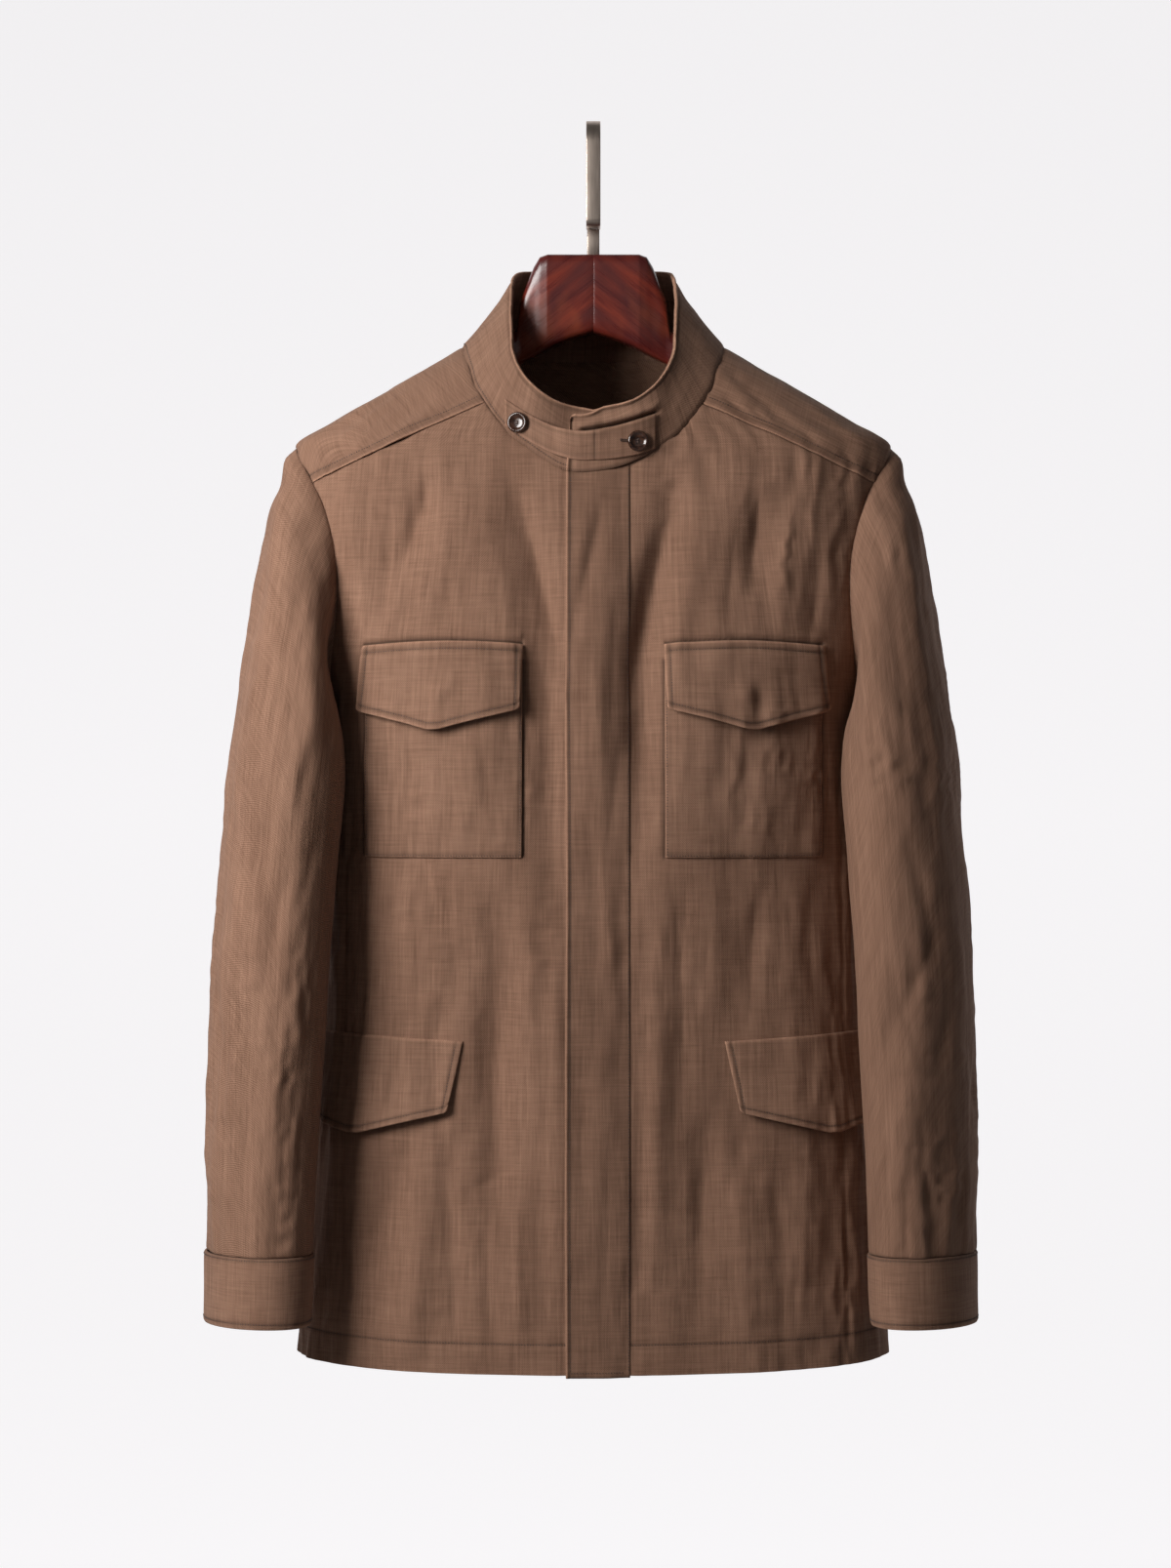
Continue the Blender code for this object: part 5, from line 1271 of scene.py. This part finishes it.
def make_collar():
    """Its grid runs from the lower end round the back (way -1) to the upper end, past way -1."""
    start = float(neck_way_at(-FRONT_EDGE_RIGHT))
    end = float(neck_way_at(COLLAR_OVER_END_X)) - 2.0
    ways = start + (end - start) * spacing(0.52, 0.0024)
    beside_end = end + 1.9 * np.array((0.0, 0.0003, 0.0007, 0.0012, 0.0018, 0.0025, 0.0033, 0.0042, 0.0055,
                                       0.0075, 0.01, 0.013, 0.017, 0.022, 0.028))
    ways = np.sort(np.concatenate((ways[ways - end > 0.055], beside_end)))[::-1]
    way, height = np.meshgrid(ways, spacing(0.055, 0.0009, (0.0025,), (0.0015, 0.003)))
    upper = way < -1.0
    reach = height * collar_top(way)
    x = neck_base(way)[..., 0]
    lift = np.where(upper, collar_lift(x) + 0.001 * (1.0 - ramp(x, -0.019, 0.02)), 0.0)
    crease = collar_crease(way, reach) * ramp(height, 0.0, 0.55)
    # the lower end goes in behind the upper one, and the upper one is fullest beside the tab
    tucked = 0.0094 * ramp(x, -0.05, -0.01) * (way > -0.5) * ramp(height, 0.05, 0.6)
    full = 0.0016 * bump(x - 0.046, 0.026) * upper * ramp(height, 0.0, 0.6)
    face = collar_face(way, reach)
    cloth = Cloth(face.copy(), collar_normal(way, reach), COLLAR_CLOTH, lift + crease - tucked + full)
    cloth.uv = np.stack((way * COLLAR_HALF_LENGTH, cloth.bottom), axis=-1)
    cloth.seam("bottom", 0.001, 0.002)
    # the rim and the end are rolled over their edges, with a painted highlight on the roll and painted shade
    # behind it
    cloth.detail += 0.0009 * bump(cloth.top - 0.0011, 0.0012) - 0.0006 * bump(cloth.top - 0.0032, 0.0011)
    cloth.detail += 0.0009 * bump(cloth.right - 0.0011, 0.0013) - 0.0006 * bump(cloth.right - 0.0034, 0.0012)
    cloth.rolled(cloth.top, 0.3)
    cloth.rolled(cloth.right, 0.3, upper)
    # the tab's upper edge presses a furrow into the upper end
    above = face[..., 2] - tab_edge("upper_z", face[..., 0])
    pressed = ramp(face[..., 0], -0.012, -0.006) * (1.0 - ramp(face[..., 0], 0.044, 0.049)) * upper
    cloth.out += (0.0016 * bump(above - 0.0055, 0.003) - 0.0034 * bump(above - 0.0008, 0.0015)) * pressed
    # painted shadow: the furrow above the tab's edge is painted dark
    cloth.painted_light -= 0.9 * bump(above - 0.0009, 0.0012) * pressed
    cloth.groove(cloth.bottom - COLLAR_STITCH, 0.0003, 0.0008, 0.00008, way > -0.55)
    cloth.inner[0] -= unit(cloth.inner[1] - cloth.inner[0]) * 0.0012
    make_cloth("collar", cloth, "brown_twill_trim", "hanger_body")
    points, normals = cloth.row("bottom", COLLAR_STITCH)
    stitch("trim", points[ways > -0.75], normals[ways > -0.75])


def collar_spots(x, z):
    """The ways and heights of the collar's points seen at x and z from the front."""
    way, height = neck_way_at(x * 1.1), np.full_like(x, 0.5)
    step = 0.001
    for _ in range(14):
        here = collar_face(way, height)[..., (0, 2)]
        by_way = (collar_face(way + step, height)[..., (0, 2)] - here) / step
        by_height = (collar_face(way, height + step)[..., (0, 2)] - here) / step
        miss = np.stack((x, z), axis=-1) - here
        change = np.linalg.solve(np.stack((by_way, by_height), axis=-1), miss[..., None])[..., 0]
        way, height = way + change[..., 0], height + change[..., 1]
    return way, height


def tab_out(x):
    return COLLAR_CLOTH + LIE + ramp(x, *TAB_STEP_X) * collar_lift(x)


def on_tab(x, z, lift):
    """Points on the collar seen at x and z, moved out past the tab's face, and their directions."""
    spots = collar_spots(x, z)
    normals = collar_normal(*spots)
    return collar_face(*spots) + normals * (tab_out(x) + TRIM_CLOTH + lift)[:, None], normals


def tab_edge(name, x):
    places = column(TAB, "x")
    return smooth_through(places, column(TAB, name))(np.clip(x, places[0], places[-1]))


def make_tab():
    first, last = TAB[0].x, TAB[-1].x
    across = spacing(last - first, 0.002, (TAB_SEAM_X - first,))
    up = spacing(0.02, 0.0018, (0.002,), (0.002,))
    x, share = np.meshgrid(first + across * (last - first), up)
    z = tab_edge("lower_z", x) * (1.0 - share) + tab_edge("upper_z", x) * share
    way, height = collar_spots(x, z)
    # the upper edge of the tab's left part stands off a little
    stand = 0.0016 * ramp(x, -0.012, 0.006) * ramp(share, 0.5, 1.0)
    stand = stand + 0.0004 * noise(x / 0.012, share * 1.5, 5)
    out = tab_out(x) + np.maximum(stand, 0.0) + np.maximum(collar_crease(way, height), 0.0)
    for button_x, button_z in BUTTON_SPOTS.values():
        out = out - 0.0003 * bump(np.hypot(x - button_x, z - button_z), 0.0075)
    cloth = Cloth(collar_face(way, height), collar_normal(way, height), TRIM_CLOTH, out)
    cloth.uv = np.stack((cloth.left + 0.3, cloth.bottom), axis=-1)
    # each edge gets painted shade at its seam and a painted highlight on its roll
    for edge in ("bottom", "top", "left", "right"):
        cloth.seam(edge, 0.0005, 0.0007)
        cloth.rolled(cloth.edge(edge), 0.2)
    cloth.turn_in(x - TAB_SEAM_X, 0.0006, 0.0008)
    # painted shade along the tab's middle seam
    cloth.painted_light -= 0.35 * bump(x - TAB_SEAM_X, 0.0012)
    make_cloth("collar_tab", cloth, "brown_twill_trim", "cloth_collar")
    # the buttonhole beside the left button: two short bars of close stitches
    button_x, button_z = BUTTON_SPOTS["left"]
    for shift in (-0.0006, 0.0006):
        line_x = np.linspace(button_x - 0.0128, button_x - 0.0072, 8)
        line_z = np.linspace(button_z + 0.0006, button_z + 0.0002, 8) + shift
        stitch("trim", *on_tab(line_x, line_z, 0.0004), 0.0007, 0.001)


def make_buttons():
    """Turned horn buttons: a rounded rim and a hollow face, crossed by thread between the places of four
    holes.
    """
    turns = 2 * math.pi * np.arange(48) / 48
    hole_away, thread_lift, thread_apart = 0.0013, 0.00135, 0.00025
    for word, (x, z) in BUTTON_SPOTS.items():
        points, normals = on_tab(np.array([x]), np.array([z]), BUTTON_SEAT)
        normal = Vector(normals[0])
        turn = normal.to_track_quat("Z", "Y").to_matrix().to_4x4()
        move = Matrix.Translation(Vector(points[0])) @ turn
        rings = [[move @ Vector((radius * math.cos(k), radius * math.sin(k), level)) for k in turns]
                 for radius, level in BUTTON_PROFILE]
        tube("horn_button_" + word, rings, "dark_horn", "tab_button_" + word)
        holes = [Vector((hole_away * math.cos(k), hole_away * math.sin(k), thread_lift))
                 for k in np.radians((45, 135, 225, 315))]
        for start, end in ((holes[0], holes[1]), (holes[2], holes[3])):
            line = np.array([move @ (start + (end - start) * share) for share in (0.0, 0.5, 1.0)])
            away = unit(np.cross(line[-1] - line[0], normals[0]))
            for side in (-thread_apart, thread_apart):
                stitch("trim", line + away * side, np.repeat(normals, 3, axis=0), 0.0026, 0.0024)


def make_placket():
    xs = FLY_X[0] + spacing(FLY_X[1] - FLY_X[0], 0.0026, (0.003,), (0.0012,)) * (FLY_X[1] - FLY_X[0])
    tops = neck_height(neck_angle(neck_way_at(xs))) - FLY_NECK_GAP
    z = FLY_BOTTOM_Z + (tops[None, :] - FLY_BOTTOM_Z) * spacing(0.66, STEP, (0.006,), (0.006,))[:, None]
    x = np.broadcast_to(xs[None, :], z.shape)
    cloth = cloth_at(x, z, 1, PLACKET_CLOTH, CLOTH + LIE)
    cloth.uv = np.stack((x + 0.5, z), axis=-1)
    # the whole strip leans to the right below the chest
    lean = 1.0 - ramp(z, -0.44, -0.3)
    cloth.out += 0.0024 * (FLY_X[1] - x) / (FLY_X[1] - FLY_X[0]) * lean
    # the strip's sewn edge is flush with the front beside it
    sewn = ramp(x, 0.006, FLY_X[1] - 0.001)
    cloth.thickness = PLACKET_CLOTH - 0.0016 * sewn
    cloth.out -= 0.0005 * sewn
    # its free edge lies a little proud, and waves slightly
    cloth.out += bump(cloth.left, 0.006) * (0.0004 + 0.0003 * noise(cloth.bottom / 0.05, 0.5, 12))
    cloth.rolled(cloth.left, 0.13)
    cloth.turn_in(cloth.left, 0.0004, 0.0005)
    cloth.detail += 0.0006 * bump(cloth.left - 0.0013, 0.0012)
    cloth.seam("bottom", 0.0006, 0.0009)
    cloth.seam("top", 0.0012, 0.0016)
    cloth.seam("right", 0.0003, 0.001)
    cloth.groove(cloth.left - PLACKET_STITCH, 0.0003)
    # painted shade: the whole strip is painted a little darker than the fronts
    cloth.painted_light -= 0.09
    make_cloth("front_placket", cloth, "brown_twill", "cloth_front_left", "cloth_front_right")
    cloth.stitched("seams", "left", PLACKET_STITCH, (0.004, 0.004))
    cloth.stitched("seams", "right", 0.0012, (0.004, 0.004))
    cloth.stitched("seams", "bottom", 0.004, (0.003, 0.003))


# ---------------------------------------------------------------- pockets

def patch_crumple(x, z, seed):
    """Short pressed-in wrinkles of a pocket, some of them level."""
    level = noise(x / 0.03, z / 0.006, seed) * ramp(noise(x / 0.05, z / 0.03, seed + 1), 0.1, 0.6)
    return 0.00036 * level + 0.00022 * noise(x / 0.008, z / 0.03, seed + 2)


def make_pocket(word, side):
    width, height = POCKET_OUTER_X - POCKET_INNER_X, POCKET_TOP_Z - POCKET_BOTTOM_Z
    sewn = (POCKET_STITCH,)
    x, z = np.meshgrid(POCKET_INNER_X + spacing(width, STEP * 0.8, sewn, sewn) * width,
                       POCKET_BOTTOM_Z + spacing(height, STEP * 0.8, sewn) * height)
    cloth = cloth_at(x, z, side, TRIM_CLOTH, CLOTH + LIE)
    inside = 1.0 - bump(np.minimum(cloth.left, cloth.right), 0.004) * 0.9
    cloth.out += np.maximum(patch_crumple(x * side, z, 31) * inside, -0.0004)
    belly = np.sin(math.pi * np.clip((x - POCKET_INNER_X) / width, 0, 1)) * ramp(cloth.bottom, 0.0, 0.03)
    cloth.out += 0.0012 * belly
    cloth.uv = np.stack((x * side + 0.21, z), axis=-1)
    sewn_edges = ("left", "right", "bottom")
    for edge in sewn_edges:
        cloth.rolled(cloth.edge(edge), 0.18)
        cloth.turn_in(cloth.edge(edge), 0.0007, 0.0006)
        cloth.groove(cloth.edge(edge) - POCKET_STITCH, 0.0004, 0.0008, 0.00008)
    make_cloth("chest_pocket_" + word, cloth, "brown_twill_trim", "cloth_front_" + word)
    for edge in sewn_edges:
        cloth.stitched("trim", edge, POCKET_STITCH, (0.001, 0.001))


def flap_cloth(node, side, top, edge, place, out, paler, snap, stitch_top):
    """A pointed flap from its sewn top edge to its free one; place(along, drop) is its angle and z."""
    width = top[1] - top[0]
    half = 0.5 * spacing(0.5 * width, STEP * 0.75, (FLAP_STITCH,))
    depths = spacing(0.06, STEP * 0.75, (0.006,), (FLAP_STITCH,))[::-1]
    share, part = np.meshgrid(np.concatenate((half, 1.0 - half[-2::-1])), depths)
    free, longest = (np.interp(share, (0.0, 0.5, 1.0), column(edge, name)) for name in ("along", "drop"))
    # the corners of the free edge are a little round
    corner = np.minimum(share, 1.0 - share) * width
    longest = longest - 0.0016 * bump(corner, 0.0016, 1.2) - 0.0012 * bump((share - 0.5) * width, 0.003)
    along = (top[0] + width * share) * (1.0 - part) + free * part
    angle, z = place(along, longest * part)
    lift = out(longest * part) + FLAP_STAND * (longest * part / max(column(edge, "drop"))) ** 1.6
    cloth = body_cloth(np.stack((angle, z), axis=-1), side, TRIM_CLOTH, lift)
    soft = np.maximum(0.0005 * noise(share * 5.0, part * 2.0, 41 + side), 0.0)
    cloth.out += (0.0008 * np.sin(math.pi * share) + soft) * part
    if snap:
        # the hidden fastening shows as a bump, with a dent beside it
        across, down = share - 0.47, part - 0.6
        cloth.out += 0.0028 * bump(np.hypot(across * width, down * 0.06), 0.007)
        cloth.out -= 0.0008 * bump(np.hypot((across - 0.075) * width * 1.6, (down - 0.1) * 0.03), 0.0045)
    cloth.uv = np.stack((along * side + 0.77, z), axis=-1)
    # the grid runs from the free edge, its bottom, to the sewn one
    for border in ("left", "right", "bottom"):
        cloth.rolled(cloth.edge(border), paler)
        cloth.turn_in(cloth.edge(border), 0.0006, 0.0008)
        cloth.groove(cloth.edge(border) - FLAP_STITCH, pucker=0.0001)
    cloth.rolled(cloth.top, paler)
    if stitch_top:
        cloth.groove(cloth.top - FLAP_TOP_STITCH, 0.0007, 0.0013, 0.00012)
        cloth.detail += 0.0008 * bump(cloth.top - 0.0028, 0.0022)
        cloth.turn_in(cloth.top, 0.0008, 0.001)
    else:
        cloth.turn_in(cloth.top, 0.0009, 0.0012)
    make_cloth(node, cloth, "brown_twill_trim", "cloth_front_" + node.split("_")[-1])
    cloth.stitched("trim", "bottom", FLAP_STITCH, (0.0046, 0.0046))
    for border in ("left", "right"):
        cloth.stitched("trim", border, FLAP_STITCH, (0.0046, 0.004))
    if stitch_top:
        cloth.stitched("trim", "top", FLAP_TOP_STITCH, (0.0046, 0.0046))


def make_chest_flap(word, side):
    def place(x, drop):
        z = chest_flap_top(x) - drop
        return angle_at(x, z), z

    def out(drop):
        return CLOTH + LIE + (TRIM_CLOTH + LIE) * ramp(drop, 0.0, FLAP_SEAM_ROOM)

    flap_cloth("chest_flap_" + word, side, CHEST_FLAP_TOP, CHEST_FLAP_EDGE, place, out, 0.2, True, True)


def angle_along(angle, z, distance):
    """The angle a distance further round the section at z, for arrays."""
    ladder = np.linspace(0.0, 75.0, 160)
    lines = body_face(angle.reshape(-1, 1) + ladder, z.reshape(-1, 1))
    found = [np.interp(want, distances(line), ladder) for want, line in zip(distance.ravel(), lines)]
    return angle + np.reshape(found, angle.shape)


def make_lower_flap(word, side):
    def place(along, drop):
        z = LOWER_FLAP_Z + LOWER_FLAP_RISE * along / LOWER_FLAP_LENGTH - drop
        return angle_along(angle_at(np.full_like(z, LOWER_FLAP_X), z), z, along), z

    def out(drop):
        return np.full_like(drop, CLOTH + LIE)

    top = (0.0, LOWER_FLAP_LENGTH)
    flap_cloth("lower_flap_" + word, side, top, LOWER_FLAP_EDGE, place, out, 0.12, False, False)


# ---------------------------------------------------------------- sleeves and cuffs

SLEEVE_TURNS = 180.0 - 360.0 * np.arange(109) / 108
PER_DEGREE = 0.0009       # a sleeve's length round, for each degree


def sleeve_crease(word, turn, z):
    total = np.zeros_like(turn)
    for row in SLEEVE_CREASES[word]:
        along = np.clip((row.z_top - z) / (row.z_top - row.z_low), 0.0, 1.0)
        off = (turn - row.turn_top - (row.turn_low - row.turn_top) * along + 180.0) % 360.0 - 180.0
        slant = math.hypot(1.0, (row.turn_low - row.turn_top) * PER_DEGREE / (row.z_top - row.z_low))
        shape = bump(off * PER_DEGREE / slant, row.half_width, row.sharp)
        total -= row.depth * np.sin(math.pi * along) ** 0.8 * shape
    return total


def make_sleeve(word, side):
    ladder = np.linspace(0.0, LAST_RING, 400)
    lengths = sum(lengths_along(sleeve_face(side, ladder, np.full(400, turn))) for turn in (0.0, 180.0))
    places = np.interp(spacing(0.56, STEP), 0.5 * lengths, ladder)
    place, turn = np.meshgrid(places, SLEEVE_TURNS, indexing="ij")
    inner = sleeve_face(side, place, turn)
    around = sleeve_face(side, place, turn + 1.0) - sleeve_face(side, place, turn - 1.0)
    low, high = np.clip(place - 0.05, 0, LAST_RING), np.clip(place + 0.05, 0, LAST_RING)
    down = sleeve_face(side, high, turn) - sleeve_face(side, low, turn)
    settle = ramp(place, 0.0, 1.5)
    out = 1.05 * sleeve_crease(word, turn, inner[..., 2]) * settle
    out = out + 1.45 * crumple(turn * PER_DEGREE, inner[..., 2], 51 + side) * settle
    inward = ramp(-turned(turn)[0], 0.2, 0.9)
    cloth = Cloth(inner, unit(np.cross(around, down)) * side, CLOTH, out * (1.0 - 0.85 * inward))
    cloth.uv = np.stack((turn * PER_DEGREE * side, -cloth.bottom), axis=-1)
    cloth.seam("bottom", 0.001, 0.0018)
    cloth.seam("top", 0.0006, 0.0012)
    cloth.draw_in(0, -1)
    # the seam under the arm, and the one behind it
    for away in (cloth.left, cloth.right, (turn + 120.0) * PER_DEGREE):
        cloth.detail -= 0.0007 * bump(away, 0.001, 1.3)
    make_cloth("sleeve_" + word, cloth, "brown_twill", "cloth_front_" + word, closed=True)


def make_cuff(word, side):
    places = spacing(0.052, 0.0026, (CUFF_SEAM_STITCH,), (CUFF_EDGE_STITCH,)) * 2.0
    place, turn = np.meshgrid(places, SLEEVE_TURNS, indexing="ij")
    points = ellipse(ring_at(CUFF_CURVES, place), turn, SLEEVE_TWIST) - (side * SLEEVE_SWING, 0.0, 0.0)
    inner = bowed(points * (side, 1.0, 1.0))
    normals = unit(np.cross(np.gradient(inner, axis=1), np.gradient(inner, axis=0))) * -side
    normals[:, 0] = normals[:, -1] = unit(normals[:, 0] + normals[:, -1])
    out = CUFF_PROUD + 0.0007 * noise(turn / 40.0, place * 0.8, 61 + side) * ramp(place, 0.0, 1.0)
    inward = ramp(-turned(turn)[0], 0.2, 0.9)
    cloth = Cloth(inner, normals, CUFF_CLOTH, out * (1.0 - 0.6 * inward))
    cloth.uv = np.stack((turn * PER_DEGREE * side + 0.4, -cloth.bottom), axis=-1)
    cloth.seam("bottom", 0.0008, 0.001)
    cloth.turn_in(cloth.top, 0.0009, 0.0011)
    cloth.rolled(cloth.top, 0.2)
    cloth.groove(cloth.bottom - CUFF_SEAM_STITCH, 0.0003, 0.0007)
    cloth.groove(cloth.top - CUFF_EDGE_STITCH, 0.0003, 0.0008)
    cloth.draw_in(0)
    make_cloth("cuff_" + word, cloth, "brown_twill_trim", "cloth_sleeve_" + word, closed=True)
    cloth.stitched("trim", "bottom", CUFF_SEAM_STITCH)
    cloth.stitched("trim", "top", CUFF_EDGE_STITCH)


# ---------------------------------------------------------------- hanger and hook

def tube(name, rings, slot, node):
    """A closed solid through rings of points, with flat ends, that replaces a node."""
    rings = np.asarray(rings)
    index = np.arange(rings.shape[0] * rings.shape[1]).reshape(rings.shape[:2])
    following = np.roll(index, -1, axis=1)
    faces = np.stack((index[:-1], following[:-1], following[1:], index[1:]), axis=-1).reshape(-1, 4)
    shape = bmesh.new()
    corners = [shape.verts.new(point) for point in rings.reshape(-1, 3)]
    for face in (*faces, index[0], index[-1]):
        shape.faces.new([corners[k] for k in face])
    bmesh.ops.recalc_face_normals(shape, faces=shape.faces)
    mesh = bpy.data.meshes.new(name)
    shape.to_mesh(mesh)
    shape.free()
    add_piece(name, mesh, slot, node)


def make_hanger_body():
    places = column(HANGER_SECTIONS, "x")
    cosine, sine = turned(np.arange(64) * 360.0 / 64)
    rings = []
    for x in (*(-place for place in HANGER_PLACES[:0:-1]), *HANGER_PLACES):
        top, bottom, depth, square = (np.interp(abs(x), places, column(HANGER_SECTIONS, name))
                                      for name in HangerSection._fields[1:])
        y = depth * rounded(cosine, 2.0 / square) - 0.00035 * np.sign(cosine) * bump(x, 0.0006)
        z = 0.5 * (top + bottom) + 0.5 * (top - bottom) * rounded(sine, 2.0 / square)
        rings.append(bowed(np.stack((np.full_like(y, x), y, z), axis=-1)))
    tube("wood_hanger_body", rings, "red_brown_wood", "hanger_body")


def arc(centre, radius, start, end, count):
    """Points of an arc, in degrees."""
    return [(centre[0] + radius * math.cos(turn), centre[1] + radius * math.sin(turn))
            for turn in np.linspace(math.radians(start), math.radians(end), count)]


def hook_line():
    """The middle line of the flat band, as (y, z): tail, bend over the rail, front and foot."""
    radius, corner = HOOK_RADIUS + 0.5 * HOOK_THICKNESS, 0.004
    foot_z = HOOK_BOTTOM_Z + 0.5 * HOOK_THICKNESS
    return np.array([
        (radius, -HOOK_RADIUS - HOOK_TAIL),
        (radius, -HOOK_RADIUS - 0.5 * HOOK_TAIL),
        *arc((0.0, -HOOK_RADIUS), radius, 0.0, 180.0, 40),
        *((-radius, z) for z in np.linspace(-0.025, foot_z + corner + 0.004, 6)),
        *arc((corner - radius, foot_z + corner), corner, 180.0, 270.0, 8),
        (HOOK_SHELF_Y, foot_z),
    ])


def rounded_box(width, depth):
    """A rectangle's outline with rounded corners."""
    outline = []
    for quarter, (sx, sy) in enumerate(((1, 1), (-1, 1), (-1, -1), (1, -1))):
        centre = (sx * (0.5 * width - BAND_ROUND), sy * (0.5 * depth - BAND_ROUND))
        outline += arc(centre, BAND_ROUND, 90.0 * quarter, 90.0 * quarter + 90.0, 4)
    return outline


def make_hook():
    line = hook_line()
    along = unit(np.gradient(line, axis=0))
    out = np.column_stack((-along[:, 1], along[:, 0]))
    outline = rounded_box(HOOK_WIDTH, HOOK_THICKNESS)
    # the ends are repeated smaller, so that their edges are worn round
    rings = [[(x * shrink, *(line[place] + out[place] * y * shrink)) for x, y in outline]
             for place, shrink in ((0, 0.6), *((k, 1.0) for k in range(len(line))), (-1, 0.6))]
    tube("bronze_hanger_hook", rings, "satin_bronze", "hanger_hook")


def make_stem():
    top, bottom = HOOK_BOTTOM_Z - STEM_CLEARANCE, HANGER_TOP_Z + STEM_CLEARANCE
    outline = rounded_box(STEM_WIDTH, STEM_DEPTH)
    rings = [[(x * shrink, y * shrink, z) for x, y in outline]
             for z, shrink in ((top, 0.9), (top - 0.0004, 1.0), (0.5 * (top + bottom), 1.0),
                               (bottom + 0.0003, 1.0), (bottom, 0.95))]
    tube("bronze_hanger_stem", rings, "satin_bronze", "hanger_stem")


# ---------------------------------------------------------------- camera, lights and floor

def add_object(name, data):
    thing = bpy.data.objects.new(name, data)
    bpy.context.scene.collection.objects.link(thing)
    return thing


def make_camera():
    data = bpy.data.cameras.new("camera")
    data.sensor_fit = "VERTICAL"
    data.sensor_height = 36.0
    data.lens = 0.5 * data.sensor_height / math.tan(math.radians(HALF_VIEW))
    camera = add_object("camera", data)
    camera.location = CAMERA_PLACE
    camera.rotation_euler = (math.radians(90.0), 0.0, 0.0)
    bpy.context.scene.camera = camera


def make_stage():
    """A pale floor that curves up into a pale wall."""
    line = [(-STAGE_HALF_WIDTH, FLOOR_Z)]
    line += arc((WALL_START_Y, FLOOR_Z + WALL_RADIUS), WALL_RADIUS, -90.0, 0.0, 10)
    line.append((WALL_START_Y + WALL_RADIUS, WALL_TOP_Z))
    vertices = [(x, y, z) for y, z in line for x in (-STAGE_HALF_WIDTH, STAGE_HALF_WIDTH)]
    faces = [(2 * k, 2 * k + 1, 2 * k + 3, 2 * k + 2) for k in range(len(line) - 1)]
    mesh = bpy.data.meshes.new("floor")
    mesh.from_pydata(vertices, [], faces)
    mesh.polygons.foreach_set("use_smooth", np.full(len(faces), True))
    mesh.materials.append(pale_stage())
    add_object("floor", mesh)


def add_light(name, place, target, size, power, colour):
    data = bpy.data.lights.new(name, "AREA")
    data.shape = "RECTANGLE"
    data.size, data.size_y = size
    data.energy = power
    data.color = colour
    light = add_object(name, data)
    light.location = place
    light.rotation_euler = (Vector(target) - Vector(place)).to_track_quat("-Z", "Y").to_euler()
    light.visible_camera = False


def make_lights():
    add_light("key", (-1.22, -1.08, 0.12), (0.0, 0.0, -0.45), (0.8, 0.9), 36.0, (1.0, 0.985, 0.97))
    add_light("fill", (0.6, -3.2, 0.6), (0.0, 0.0, -0.5), (2.0, 2.0), 2.2, (1.0, 0.98, 0.96))
    world = bpy.data.worlds.new("studio")
    world.use_nodes = True
    back = world.node_tree.nodes["Background"]
    back.inputs["Color"].default_value = (1.0, 0.995, 1.0, 1.0)
    back.inputs["Strength"].default_value = 0.07
    bpy.context.scene.world = world
    bpy.context.scene.view_settings.view_transform = "Standard"


# ---------------------------------------------------------------- the whole

def main():
    make_camera()
    make_stage()
    make_lights()
    make_front("front_left", 1, FRONT_EDGE_LEFT)
    make_front("front_right", -1, -FRONT_EDGE_RIGHT)
    make_back()
    make_yoke()
    make_collar()
    make_tab()
    make_buttons()
    make_placket()
    for word, side in (("right", -1), ("left", 1)):
        make_pocket(word, side)
        make_chest_flap(word, side)
        make_lower_flap(word, side)
        make_sleeve(word, side)
        make_cuff(word, side)
    make_hanger_body()
    make_hook()
    make_stem()
    make_stitches()


main()
